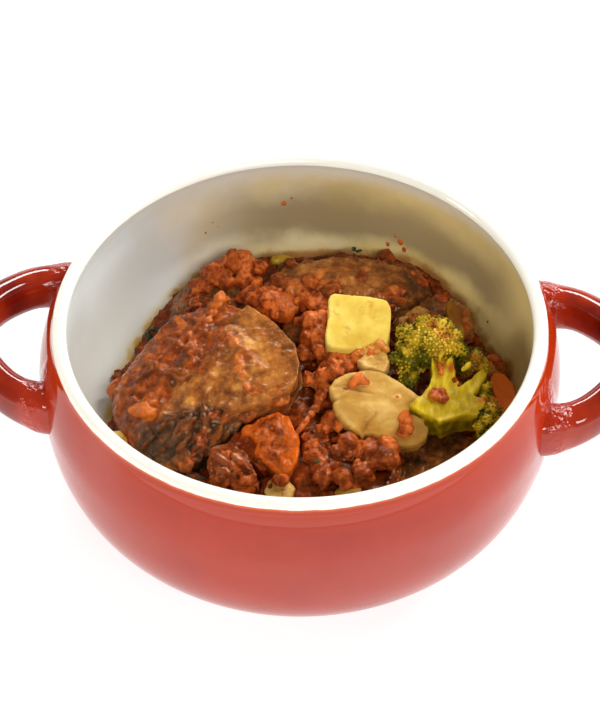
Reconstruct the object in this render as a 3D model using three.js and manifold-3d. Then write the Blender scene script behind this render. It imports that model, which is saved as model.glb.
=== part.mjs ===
// Venison stew in its two-handled soup bowl: slabs of meat, vegetables and a thick tomato sauce.
// Millimetres, +Z up. The origin is on the table under the middle of the bowl, and the two handles
// lie along X.

import * as THREE from 'three';
import { RoundedBoxGeometry } from 'three/addons/geometries/RoundedBoxGeometry.js';
import { ImprovedNoise } from 'three/addons/math/ImprovedNoise.js';
import { mergeVertices } from 'three/addons/utils/BufferGeometryUtils.js';
import Module from 'manifold-3d';

// Bowl
const BOWL_HEIGHT = 62;
const RIM_RADIUS = 70;
const WALL = 4.2;
const BELLY_RADIUS = 75.2;
const BELLY_HEIGHT = 42;
const SHOULDER_CURVE = 2.2;
const FOOT_RADIUS = 42;
const FOOT_HEIGHT = 1.5;
const FOOT_WIDTH = 4;
const FOOT_HOLLOW = 1.6;
const OUTER_FULLNESS = 2.8;
const FLOOR_HEIGHT = 7;
const FLOOR_RADIUS = 40;
const INNER_FULLNESS = 2.6;
const BOWL_FACETS = 36;
const LIP_STEPS = 4;
const LOWER_STEPS = 6;
const UPPER_STEPS = 3;
const LOWER_CROWDING = 1.35;

// Handles: a loop that rises a little outwards, thicker where it joins the bowl
const HANDLE_HEIGHT = 44;
const HANDLE_RISE = 4.2;
const HANDLE_HALF_WIDTH = 5.2;
const HANDLE_HALF_HEIGHT = 6.1;
const HANDLE_FLARE = 0.24;
const HANDLE_FLARE_LENGTH = 6;
const HANDLE_RINGS = 18;
const HANDLE_CORNERS = 8;
const HANDLE_SQUARENESS = 0.85;
const HANDLE_ROUTE = [[60, 25.5], [72, 24.3], [81, 21.2], [88.8, 14], [93.2, 6.8], [94.6, 0]];

// Stew
const GAP = 0.3;
const SAUCE_MIDDLE_LEVEL = 25.5;
const SAUCE_FACETS = 24;
const SAUCE_RINGS = 10;
const SAUCE_HEAP_RADIUS = 12;
const SHORE_WIDTH = 4;
const WAVE_HEIGHT = 1.6;
const WAVE_LENGTH = 8;
const WAVE_SEED = 4.5;

// Heights of the sauce along the wall at every 30 degrees, counterclockwise from +X
const SHORE_LEVELS = [18.3, 17.5, 25.5, 20.2, 21.5, 13.4, 11.6, 12.5, 17, 20, 18, 16];

// Rises of the sauce: middle x and y, height and spread
const SAUCE_SWELLS = [
  [14, 6, 4, 12],
  [16, -27, 3.5, 12],
];

const FINISHES = {
  redGlaze: { color: 0xb64536, roughness: 0.2, metalness: 0 },
  venison: { color: 0x6b4430, roughness: 0.5, metalness: 0 },
  darkVenison: { color: 0x3b2a22, roughness: 0.45, metalness: 0 },
  sauce: { color: 0x93341a, roughness: 0.35, metalness: 0 },
  tomato: { color: 0xa63e1e, roughness: 0.3, metalness: 0 },
  potato: { color: 0xe9d77c, roughness: 0.5, metalness: 0 },
  mushroom: { color: 0xc9a46b, roughness: 0.4, metalness: 0 },
  broccoli: { color: 0x7d8a2c, roughness: 0.6, metalness: 0 },
  carrot: { color: 0xc4501a, roughness: 0.35, metalness: 0 },
  onion: { color: 0x8a5230, roughness: 0.3, metalness: 0 },
  greenBit: { color: 0xa89b3c, roughness: 0.4, metalness: 0 },
};

const TURN = 2 * Math.PI;
const SAME_CORNER = 1e-4;
const noise = new ImprovedNoise();
const wasm = await Module();
wasm.setup();

// ---- Shapes

// A closed surface of rings between two end points. place(s, t) gives the point at s, from 0 at the
// first end to 1 at the last, and at t of a turn round it. The turn runs right-handed about the
// way from the first end to the last, so that the faces look outwards.
function skin(rings, corners, place) {
  const points = [place(0, 0)];
  for (let i = 1; i < rings; i += 1) {
    for (let j = 0; j < corners; j += 1) {
      points.push(place(i / rings, j / corners));
    }
  }
  points.push(place(1, 0));
  const last = points.length - 1;
  const at = (i, j) => 1 + (i - 1) * corners + (j % corners);
  const faces = [];
  for (let j = 0; j < corners; j += 1) {
    faces.push(0, at(1, j + 1), at(1, j));
    faces.push(last, at(rings - 1, j), at(rings - 1, j + 1));
    for (let i = 1; i < rings - 1; i += 1) {
      faces.push(at(i, j), at(i, j + 1), at(i + 1, j + 1));
      faces.push(at(i, j), at(i + 1, j + 1), at(i + 1, j));
    }
  }
  const geometry = new THREE.BufferGeometry().setFromPoints(points);
  geometry.setIndex(faces);
  return geometry;
}

// The value at t of a turn, smooth between values at even steps round it.
function around(values, t) {
  const n = values.length;
  const place = ((t % 1) + 1) % 1 * n;
  const i = Math.floor(place);
  const share = place - i;
  const [a, b, c, d] = [-1, 0, 1, 2].map((k) => values[(i + k + n) % n]);
  const slope = (c - a) / 2;
  const nextSlope = (d - b) / 2;
  const rise = c - b;
  return b + share * (slope + share * (3 * rise - 2 * slope - nextSlope
    + share * (slope + nextSlope - 2 * rise)));
}

const signedPower = (value, power) => Math.sign(value) * Math.abs(value) ** power;

// An uneven lump or slab lying flat: `outline` is its radii at even steps round its plan, `square`
// goes from 2, round all over, to 4 and more, flat with a rounded edge, and `bow` lifts its middle.
function lump({ outline, thick, square = 2.3, bow = 0, rough = 0.6, grain = 5, seed = 0,
  rings = 5, corners = 8 }) {
  return skin(rings, corners, (s, t) => {
    const rise = Math.PI * (s - 0.5);
    const spread = Math.abs(Math.cos(rise)) ** (2 / square);
    const radius = around(outline, t) * spread;
    const height = signedPower(Math.sin(rise), 2 / square) * thick / 2;
    const point = new THREE.Vector3(
      radius * Math.cos(TURN * t),
      radius * Math.sin(TURN * t),
      height + bow * (1 - spread * spread),
    );
    const swell = noise.noise(point.x / grain + seed, point.y / grain, point.z / grain + seed);
    const away = new THREE.Vector3(Math.cos(TURN * t) * spread, Math.sin(TURN * t) * spread,
      Math.sin(rise));
    return point.addScaledVector(away, 2 * rough * swell);
  });
}

// A tapered round limb between two points.
function limb([from, to], startRadius, endRadius, facets = 7) {
  const start = new THREE.Vector3(...from);
  const along = new THREE.Vector3(...to).sub(start);
  const geometry = new THREE.CylinderGeometry(endRadius, startRadius, along.length(), facets);
  const up = new THREE.Vector3(0, 1, 0);
  geometry.translate(0, along.length() / 2, 0);
  geometry.applyQuaternion(new THREE.Quaternion().setFromUnitVectors(up, along.normalize()));
  geometry.translate(...from);
  return geometry;
}

// ---- Solids, joined and cut

// A copy with its shared corners merged, and without the faces that collapse on a lathe's axis.
function closed(geometry) {
  const bare = geometry.clone();
  bare.deleteAttribute('normal');
  bare.deleteAttribute('uv');
  const merged = mergeVertices(bare, SAME_CORNER);
  const faces = [];
  for (let i = 0; i < merged.index.count; i += 3) {
    const [a, b, c] = merged.index.array.slice(i, i + 3);
    if (a !== b && b !== c && c !== a) faces.push(a, b, c);
  }
  merged.setIndex(faces);
  return merged;
}

function solid(geometry) {
  const { attributes, index } = closed(geometry);
  return new wasm.Manifold(new wasm.Mesh({
    numProp: 3,
    vertProperties: new Float32Array(attributes.position.array),
    triVerts: new Uint32Array(index.array),
  }));
}

function surface(body) {
  const { vertProperties, triVerts } = body.getMesh();
  const geometry = new THREE.BufferGeometry();
  geometry.setAttribute('position', new THREE.BufferAttribute(vertProperties, 3));
  geometry.setIndex(new THREE.BufferAttribute(triVerts, 1));
  return geometry;
}

// The same shape with every face moved out by the gap.
function grown(geometry) {
  const wider = closed(geometry);
  wider.computeVertexNormals();
  const { position, normal } = wider.attributes;
  for (let i = 0; i < position.count; i += 1) {
    position.setXYZ(i, position.getX(i) + GAP * normal.getX(i),
      position.getY(i) + GAP * normal.getY(i), position.getZ(i) + GAP * normal.getZ(i));
  }
  return wider;
}

// The largest whole piece of a body that cutting has left in several.
function largest(body) {
  return body.decompose().sort((a, b) => b.volume() - a.volume())[0];
}

function finish(name, geometry, material) {
  const mesh = new THREE.Mesh(geometry, new THREE.MeshStandardMaterial(material));
  mesh.name = name;
  return mesh;
}

// ---- Bowl

// A wall's radius between the bottom and the belly, a quarter of a superellipse.
function lowerWall(z, bottomRadius, bottomHeight, bellyRadius, fullness) {
  const drop = (BELLY_HEIGHT - z) / (BELLY_HEIGHT - bottomHeight);
  return bottomRadius
    + (bellyRadius - bottomRadius) * (1 - drop ** fullness) ** (1 / fullness);
}

// How far the wall draws in between the belly and the lip.
function drawIn(z) {
  const rise = (z - BELLY_HEIGHT) / (BOWL_HEIGHT - WALL / 2 - BELLY_HEIGHT);
  return (BELLY_RADIUS - RIM_RADIUS) * rise ** SHOULDER_CURVE;
}

// Heights from the bottom to the belly, close together where the wall turns up.
function lowerHeights(bottom, steps) {
  return Array.from({ length: steps }, (_, i) => (
    bottom + (BELLY_HEIGHT - bottom) * (1 - Math.cos(Math.PI / 2 * i / steps)) ** LOWER_CROWDING));
}

function upperHeights(steps) {
  const top = BOWL_HEIGHT - WALL / 2;
  return Array.from({ length: steps }, (_, i) => (
    BELLY_HEIGHT + (top - BELLY_HEIGHT) * i / steps));
}

function outerProfile() {
  return [
    ...lowerHeights(FOOT_HEIGHT, LOWER_STEPS).map((z) => new THREE.Vector2(
      lowerWall(z, FOOT_RADIUS, FOOT_HEIGHT, BELLY_RADIUS, OUTER_FULLNESS), z)),
    ...upperHeights(UPPER_STEPS).map((z) => new THREE.Vector2(BELLY_RADIUS - drawIn(z), z)),
  ];
}

// The inner face from the floor up to the lip, moved by `offset` into the wall.
function innerProfile(offset = 0) {
  const floor = FLOOR_HEIGHT - offset;
  return [
    ...lowerHeights(floor, LOWER_STEPS).map((z) => new THREE.Vector2(lowerWall(z, FLOOR_RADIUS,
      floor, BELLY_RADIUS - WALL + offset, INNER_FULLNESS), z)),
    ...upperHeights(UPPER_STEPS).map((z) => new THREE.Vector2(
      BELLY_RADIUS - WALL + offset - drawIn(z), z)),
  ];
}

// A solid turned about the Z axis from a profile of radii and heights.
function turned(profile) {
  return solid(new THREE.LatheGeometry(profile, BOWL_FACETS).rotateX(Math.PI / 2));
}

// What fills the bowl's hollow and stands well above its rim.
function hollow(offset) {
  const side = innerProfile(offset);
  const top = 2 * BOWL_HEIGHT;
  return turned([
    new THREE.Vector2(0, side[0].y),
    ...side,
    new THREE.Vector2(RIM_RADIUS - WALL + offset, BOWL_HEIGHT - WALL / 2),
    new THREE.Vector2(RIM_RADIUS - WALL + offset, top),
    new THREE.Vector2(0, top),
  ]);
}

function shell() {
  const lip = Array.from({ length: LIP_STEPS + 1 }, (_, i) => {
    const angle = Math.PI * i / LIP_STEPS;
    return new THREE.Vector2(RIM_RADIUS - WALL / 2 + WALL / 2 * Math.cos(angle),
      BOWL_HEIGHT - WALL / 2 + WALL / 2 * Math.sin(angle));
  });
  return turned([
    new THREE.Vector2(0, FOOT_HOLLOW),
    new THREE.Vector2(FOOT_RADIUS - FOOT_WIDTH - FOOT_HOLLOW, FOOT_HOLLOW),
    new THREE.Vector2(FOOT_RADIUS - FOOT_WIDTH, 0),
    new THREE.Vector2(FOOT_RADIUS - FOOT_HEIGHT / 2, 0),
    ...outerProfile(),
    ...lip,
    ...innerProfile().reverse(),
    new THREE.Vector2(0, FLOOR_HEIGHT),
  ]);
}

// A loop of superellipse sections; `side` is 1 for the handle on +X and -1 for the one on -X.
function handle(side) {
  const [joint, tip] = [HANDLE_ROUTE[1][0], HANDLE_ROUTE.at(-1)[0]];
  const place = (x, y) => new THREE.Vector3(side * x, side * y,
    HANDLE_HEIGHT + HANDLE_RISE * Math.max(0, (x - joint) / (tip - joint)));
  const half = HANDLE_ROUTE.map(([x, y]) => place(x, y));
  const back = HANDLE_ROUTE.slice(0, -1).reverse().map(([x, y]) => place(x, -y));
  const route = new THREE.CatmullRomCurve3([...half, ...back]);
  const length = route.getLength();
  const buried = half[0].distanceTo(half[1]);
  const up = new THREE.Vector3(0, 0, 1);
  return skin(HANDLE_RINGS, HANDLE_CORNERS, (s, t) => {
    const inset = Math.min(Math.max((s * HANDLE_RINGS - 1) / (HANDLE_RINGS - 2), 0), 1);
    const middle = route.getPointAt(inset);
    if (s === 0 || s === 1) return middle;
    const along = route.getTangentAt(inset);
    const across = new THREE.Vector3().crossVectors(along, up);
    const clear = Math.max(0, Math.min(inset, 1 - inset) * length - buried);
    const flare = 1 + HANDLE_FLARE * Math.exp(-clear / HANDLE_FLARE_LENGTH);
    const angle = TURN * t;
    return middle
      .addScaledVector(across, flare * HANDLE_HALF_WIDTH * signedPower(Math.cos(angle), HANDLE_SQUARENESS))
      .addScaledVector(up, -flare * HANDLE_HALF_HEIGHT * signedPower(Math.sin(angle), HANDLE_SQUARENESS));
  });
}

function bowl() {
  const inside = hollow(WALL / 4);
  const handles = [1, -1].map((side) => solid(handle(side)).subtract(inside));
  return shell().add(handles[0]).add(handles[1]);
}

// ---- Food

// One floret on its side: a cut stem that forks into limbs, each under a knobbly head.
function broccoli() {
  const limbs = [
    limb([[35.5, -13, 30.5], [46, -6, 33.5]], 5.2, 4.6, 8),
    limb([[43.5, -5.5, 33.5], [41, 8, 35.5]], 3.4, 4),
    limb([[45, -7, 33], [52, 3, 32.5]], 3.2, 3),
    limb([[42, -11, 31], [56, -9, 30]], 3.8, 3),
    limb([[42, -3, 32], [33, 6, 29.5]], 2.6, 2.4),
  ];
  const heads = [
    { at: [40.3, 13.2, 36], outline: [12.4, 10, 8, 10, 11.6, 9.5, 7, 8.5], thick: 15, seed: 3 },
    { at: [52.5, 6, 32], outline: [6, 7, 6.4, 5.5, 5.8, 5.5, 5, 5.5], thick: 11.5, seed: 8 },
    { at: [57.2, -8.4, 29.5], outline: [3.8, 5.2, 6, 5, 3.6, 4.6, 6, 5], thick: 9, seed: 12 },
    { at: [31.5, 7, 28.5], outline: [4, 4.6, 4.2, 4, 4.4, 4, 3.8, 4], thick: 8, seed: 17 },
  ];
  let floret = limbs.map(solid).reduce((a, b) => a.add(b));
  for (const { at, outline, thick, seed } of heads) {
    const head = lump({ outline, thick, rough: 0.9, grain: 2.6, seed, rings: 6, corners: 9 });
    floret = floret.add(solid(head.translate(...at)));
  }
  return surface(floret);
}

// Each piece's shape, place and finish, the ones that keep their whole shape first: a later piece is
// cut where it meets an earlier one.
const round = (radius) => [radius, radius * 0.94, radius, radius * 1.05, radius * 0.97, radius * 1.03];
const oval = (a, b) => [a, (a + b) / 2, b, (a + b) / 2, a * 0.95, (a + b) / 2, b * 1.04, (a + b) / 2];

const PIECES = [
  {
    name: 'broccoli', finish: 'broccoli', at: [0, 0, 0], shape: broccoli(),
  },
  {
    name: 'potato_cube', finish: 'potato', at: [16.4, 21.2, 32.4], turn: -2, pitch: 5, roll: 20,
    shape: new RoundedBoxGeometry(17.4, 17.6, 15, 1, 2.2),
  },
  {
    name: 'mushroom_slice', finish: 'mushroom', at: [22, -9, 31], pitch: 6, roll: 15,
    shape: lump({
      outline: [12.4, 12.5, 11.7, 11.1, 11.2, 11.5, 12, 12.9, 14.1, 13.7, 12, 11.3, 10.8, 10.4,
        9.4, 8.4, 9.7, 14.2, 16.4, 15.1],
      thick: 5, square: 3, bow: 1, rough: 0.4, grain: 6, seed: 2, corners: 20,
    }),
  },
  {
    name: 'carrot_right', finish: 'carrot', at: [60.4, 4.5, 20.5], turn: 70, pitch: -8, roll: 0,
    shape: lump({ outline: oval(7, 5), thick: 11, square: 3.2, rough: 0.4, seed: 5 }),
  },
  {
    name: 'carrot_front', finish: 'carrot', at: [-8.3, -17.6, 25], roll: 25,
    shape: lump({
      outline: [9.3, 8.7, 8.6, 7.6, 7.9, 8.9, 11.1, 10, 9, 10.8, 12, 10.5],
      thick: 13, square: 2.8, rough: 0.7, seed: 6, rings: 6, corners: 12,
    }),
  },
  {
    name: 'pepper_strip', finish: 'greenBit', at: [46.3, 32.5, 27], turn: 12, roll: 40,
    shape: lump({ outline: oval(2.8, 7.5), thick: 3, square: 3, rough: 0.2, seed: 7 }),
  },
  {
    name: 'venison_left', finish: 'venison', at: [-28, -1, 26], pitch: -18, roll: 10,
    shape: lump({
      outline: [31.5, 31, 30, 30.5, 31.5, 29, 28, 29, 30, 28.5, 27, 27.5, 25.5, 20, 19.5, 27],
      thick: 16, square: 3, bow: 2, rough: 1.1, grain: 9, seed: 11, rings: 7, corners: 18,
    }),
  },
  {
    name: 'venison_back', finish: 'venison', at: [13, 45, 24], roll: -6,
    shape: lump({
      outline: [28, 26, 21, 17, 15.5, 15.5, 18, 24, 27, 22, 16, 13, 12, 13, 15, 21],
      thick: 15, square: 3, bow: 1, rough: 1, grain: 8, seed: 14, rings: 6, corners: 16,
    }),
  },
  {
    name: 'mushroom_back', finish: 'mushroom', at: [38, 26.5, 28], turn: -20, roll: 12, pitch: 10,
    shape: lump({ outline: oval(11, 8), thick: 5, square: 3, rough: 0.5, seed: 16 }),
  },
  {
    name: 'mushroom_small', finish: 'mushroom', at: [21, 9.3, 29], turn: 20, roll: 25,
    shape: lump({ outline: oval(5.2, 4), thick: 6, square: 3, rough: 0.4, seed: 18 }),
  },
  {
    name: 'mushroom_bit', finish: 'mushroom', at: [5.6, 5.2, 28], turn: 40, roll: 20,
    shape: lump({ outline: oval(4, 3), thick: 4, square: 3, rough: 0.3, seed: 19 }),
  },
  {
    name: 'venison_right', finish: 'darkVenison', at: [38.5, 37.5, 21], turn: -15, roll: -4,
    shape: lump({ outline: oval(15, 11), thick: 14, square: 2.8, rough: 1, grain: 6, seed: 21,
      corners: 12 }),
  },
  {
    name: 'venison_front', finish: 'darkVenison', at: [41, -19, 15.5], turn: 25, roll: 8,
    shape: lump({ outline: oval(19, 12), thick: 13, square: 3, rough: 0.9, grain: 6, seed: 22,
      corners: 14 }),
  },
  {
    name: 'venison_tucked', finish: 'venison', at: [-29, 40, 23], turn: 15, pitch: -8, roll: -8,
    shape: lump({ outline: oval(16, 10), thick: 12, square: 3, rough: 0.9, grain: 7, seed: 23,
      corners: 12 }),
  },
  {
    name: 'venison_middle', finish: 'darkVenison', at: [0, 30, 24.5], turn: 60, roll: 0,
    shape: lump({ outline: oval(9, 6.5), thick: 9, square: 2.8, rough: 0.6, seed: 24 }),
  },
  {
    name: 'venison_wall', finish: 'darkVenison', at: [58.5, 19.5, 18.5], turn: 70,
    shape: lump({ outline: oval(6, 4.5), thick: 9, square: 2.6, rough: 0.5, seed: 25 }),
  },
  {
    name: 'onion_front', finish: 'onion', at: [-13.9, -26, 24.6], turn: -20, roll: 25,
    shape: lump({ outline: oval(7, 5), thick: 5, square: 3, rough: 0.5, seed: 26 }),
  },
  {
    name: 'carrot_bit', finish: 'carrot', at: [-14, -32.3, 23.2], turn: 10, roll: 20,
    shape: lump({ outline: oval(4.8, 3.6), thick: 5, square: 2.8, rough: 0.4, seed: 27 }),
  },
  {
    name: 'mushroom_front_left', finish: 'mushroom', at: [-3.8, -33.8, 22.8], turn: 10, roll: 15,
    shape: lump({ outline: oval(5, 4), thick: 4.5, square: 3, rough: 0.4, seed: 28 }),
  },
  {
    name: 'mushroom_front', finish: 'mushroom', at: [16, -34.8, 23.5], turn: -10, roll: 15,
    shape: lump({ outline: oval(4.5, 3.4), thick: 4, square: 3, rough: 0.3, seed: 29 }),
  },
  {
    name: 'celery_back', finish: 'greenBit', at: [-8, 62.2, 19.5], turn: -4, roll: -20,
    shape: lump({ outline: oval(4.4, 2.8), thick: 4.5, square: 3, rough: 0.2, seed: 30 }),
  },
  {
    name: 'potato_bit', finish: 'potato', at: [-52.6, -14.4, 18.6], turn: -50, roll: 10,
    shape: lump({ outline: oval(4.4, 2.6), thick: 4.4, square: 3, rough: 0.2, seed: 31 }),
  },
  {
    name: 'tomato_back_left', finish: 'tomato', at: [-28, 49, 27.5], turn: 35,
    shape: lump({ outline: oval(8, 6), thick: 9, rough: 1, grain: 4, seed: 33 }),
  },
  {
    name: 'tomato_back_round', finish: 'tomato', at: [-22, 50.6, 31], turn: 0,
    shape: lump({ outline: round(5.2), thick: 10, rough: 0.5, grain: 4, seed: 34 }),
  },
  {
    name: 'tomato_back_middle', finish: 'tomato', at: [-9.5, 32, 31], turn: -5,
    shape: lump({ outline: oval(8.5, 5), thick: 8, rough: 0.9, grain: 3.5, seed: 35 }),
  },
  {
    name: 'tomato_on_meat', finish: 'tomato', at: [-25, 25, 36.6], turn: 30, pitch: -12,
    shape: lump({ outline: oval(5.4, 3.4), thick: 5, rough: 0.5, grain: 3.5, seed: 36 }),
  },
  {
    name: 'tomato_middle', finish: 'tomato', at: [3.6, 21.5, 29], turn: 80,
    shape: lump({ outline: oval(9, 5.5), thick: 9, rough: 0.9, grain: 3.8, seed: 37 }),
  },
  {
    name: 'tomato_under_potato', finish: 'tomato', at: [12.5, 9.2, 30.5], turn: 12, roll: 20,
    shape: lump({ outline: oval(8.5, 3.4), thick: 7, rough: 0.7, grain: 3.6, seed: 42 }),
  },
  {
    name: 'tomato_left', finish: 'tomato', at: [-45.1, -10.6, 26.6], turn: -12, pitch: -15,
    shape: lump({ outline: oval(4.5, 3), thick: 5, rough: 0.4, grain: 3.5, seed: 38 }),
  },
  {
    name: 'tomato_left_end', finish: 'tomato', at: [-55.8, 6.8, 18], turn: 20,
    shape: lump({ outline: oval(4.5, 3.4), thick: 6, rough: 0.4, grain: 3.5, seed: 39 }),
  },
  {
    name: 'tomato_front', finish: 'tomato', at: [24.5, -22, 26.5], turn: 30,
    shape: lump({ outline: round(5), thick: 8.5, rough: 0.6, grain: 3.8, seed: 40 }),
  },
  {
    name: 'tomato_skin_front', finish: 'onion', at: [15.5, -21, 26.5], turn: 8, roll: 20,
    shape: lump({ outline: oval(6, 3.6), thick: 3.4, square: 3, rough: 0.5, seed: 41 }),
  },
];

// The sauce's top: a broad heap from the shore to the middle, with its swells and small waves.
function sauceTop(x, y) {
  const out = THREE.MathUtils.smoothstep(Math.hypot(x, y), SAUCE_HEAP_RADIUS,
    BELLY_RADIUS - WALL - SHORE_WIDTH);
  const shore = around(SHORE_LEVELS, Math.atan2(y, x) / TURN);
  const swells = SAUCE_SWELLS.reduce((sum, [middleX, middleY, height, spread]) => (
    sum + height * Math.exp(-((x - middleX) ** 2 + (y - middleY) ** 2) / spread ** 2)), 0);
  return THREE.MathUtils.lerp(SAUCE_MIDDLE_LEVEL, shore, out) + swells
    + WAVE_HEIGHT * noise.noise(x / WAVE_LENGTH, y / WAVE_LENGTH, WAVE_SEED);
}

// A blanket with the sauce's top, wider and deeper than the bowl's hollow.
function sauceBlanket() {
  const reach = BELLY_RADIUS;
  const topShare = (SAUCE_RINGS - 2) / SAUCE_RINGS;
  return skin(SAUCE_RINGS, SAUCE_FACETS, (s, t) => {
    const radius = reach * Math.min(1, (1 - s) / topShare) * (s === 0 ? 0 : 1);
    const x = radius * Math.cos(TURN * t);
    const y = radius * Math.sin(TURN * t);
    const underneath = s <= 1 / SAUCE_RINGS;
    return new THREE.Vector3(x, y, underneath ? 0 : sauceTop(x, y));
  });
}

// ---- The whole

const stew = new THREE.Group();
stew.add(finish('bowl', surface(bowl()), FINISHES.redGlaze));

const inside = hollow(-GAP);
const taken = [];
for (const { name, finish: look, at, turn = 0, pitch = 0, roll = 0, shape } of PIECES) {
  const mesh = finish(name, shape, FINISHES[look]);
  mesh.position.set(...at);
  mesh.rotation.set(...[roll, pitch, turn].map(THREE.MathUtils.degToRad), 'ZYX');
  mesh.updateMatrix();
  const placed = shape.clone().applyMatrix4(mesh.matrix);
  const room = taken.reduce((body, other) => body.subtract(other), solid(placed).intersect(inside));
  mesh.geometry = surface(largest(room)).applyMatrix4(mesh.matrix.clone().invert());
  stew.add(mesh);
  taken.push(solid(grown(placed)));
}

const poured = solid(sauceBlanket()).intersect(inside);
const sauce = largest(taken.reduce((body, other) => body.subtract(other), poured));
stew.add(finish('sauce', surface(sauce), FINISHES.sauce));

export default stew;
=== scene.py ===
import math
import random

import bmesh
import bpy
import numpy as np
from mathutils import Euler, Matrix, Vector, noise
from mathutils.bvhtree import BVHTree


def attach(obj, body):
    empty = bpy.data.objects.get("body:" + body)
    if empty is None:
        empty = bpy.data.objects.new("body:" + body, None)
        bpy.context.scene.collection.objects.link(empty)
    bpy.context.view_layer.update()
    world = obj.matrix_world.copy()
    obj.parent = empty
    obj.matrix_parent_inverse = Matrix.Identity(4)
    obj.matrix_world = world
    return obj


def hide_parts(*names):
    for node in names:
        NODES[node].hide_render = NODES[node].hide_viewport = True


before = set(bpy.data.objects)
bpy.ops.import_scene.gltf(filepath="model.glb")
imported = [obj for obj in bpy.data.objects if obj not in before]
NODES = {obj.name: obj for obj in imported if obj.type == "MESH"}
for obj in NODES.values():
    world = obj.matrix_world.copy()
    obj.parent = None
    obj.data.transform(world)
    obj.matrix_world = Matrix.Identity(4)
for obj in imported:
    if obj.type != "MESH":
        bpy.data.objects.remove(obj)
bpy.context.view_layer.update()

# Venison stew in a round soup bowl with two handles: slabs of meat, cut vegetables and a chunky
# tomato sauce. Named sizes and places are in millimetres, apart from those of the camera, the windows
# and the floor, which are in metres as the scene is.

MM = 0.001


def points_and_faces(shape):
    """A bmesh's points and its triangles as arrays. The bmesh is freed."""
    points = np.array([v.co for v in shape.verts])
    faces = np.array([[v.index for v in f.verts] for f in shape.faces])
    shape.free()
    return points, faces


def mesh_of(points, faces, name):
    """A mesh from points in millimetres."""
    mesh = bpy.data.meshes.new(name)
    mesh.from_pydata((points * MM).tolist(), [], faces.tolist())
    return mesh


def add_object(name, data, *materials):
    made = bpy.data.objects.new(name, data)
    bpy.context.scene.collection.objects.link(made)
    for material in materials:
        data.materials.append(material)
    return made


def mesh_from(shape, name):
    mesh = bpy.data.meshes.new(name)
    shape.to_mesh(mesh)
    shape.free()
    return mesh


def write_layer(mesh, name, values):
    """Gives a mesh one value at each of its points."""
    mesh.attributes.new(name, "FLOAT", "POINT").data.foreach_set("value", np.asarray(values, np.float32))


def read_rows(items, name, width, kind=float):
    """One property of a mesh's points or edges, a row for each."""
    values = np.zeros(len(items) * width, dtype=kind)
    items.foreach_get(name, values)
    return values.reshape(-1, width)


def place_piece(made, finish, slot, *nodes):
    """Gives a finished piece its material and body, and names the CAD nodes that it replaces. Its slot is not
    used.
    """
    made.data.materials.append(finish)
    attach(made, "root")
    if nodes:
        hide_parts(*nodes)


# ---- Materials

def srgb(red, green, blue):
    """A colour given in 0 to 255 steps, as the shaders read it."""
    def linear(step):
        share = step / 255
        return share / 12.92 if share <= 0.04045 else ((share + 0.055) / 1.055) ** 2.4
    return (linear(red), linear(green), linear(blue), 1)


def grey(level):
    return (level, level, level, 1)


def set_stops(ramp, stops):
    marks = ramp.color_ramp.elements
    while len(marks) < len(stops):
        marks.new(0.5)
    for mark, (place, colour) in zip(marks, stops):
        mark.position = place
        mark.color = colour


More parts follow.
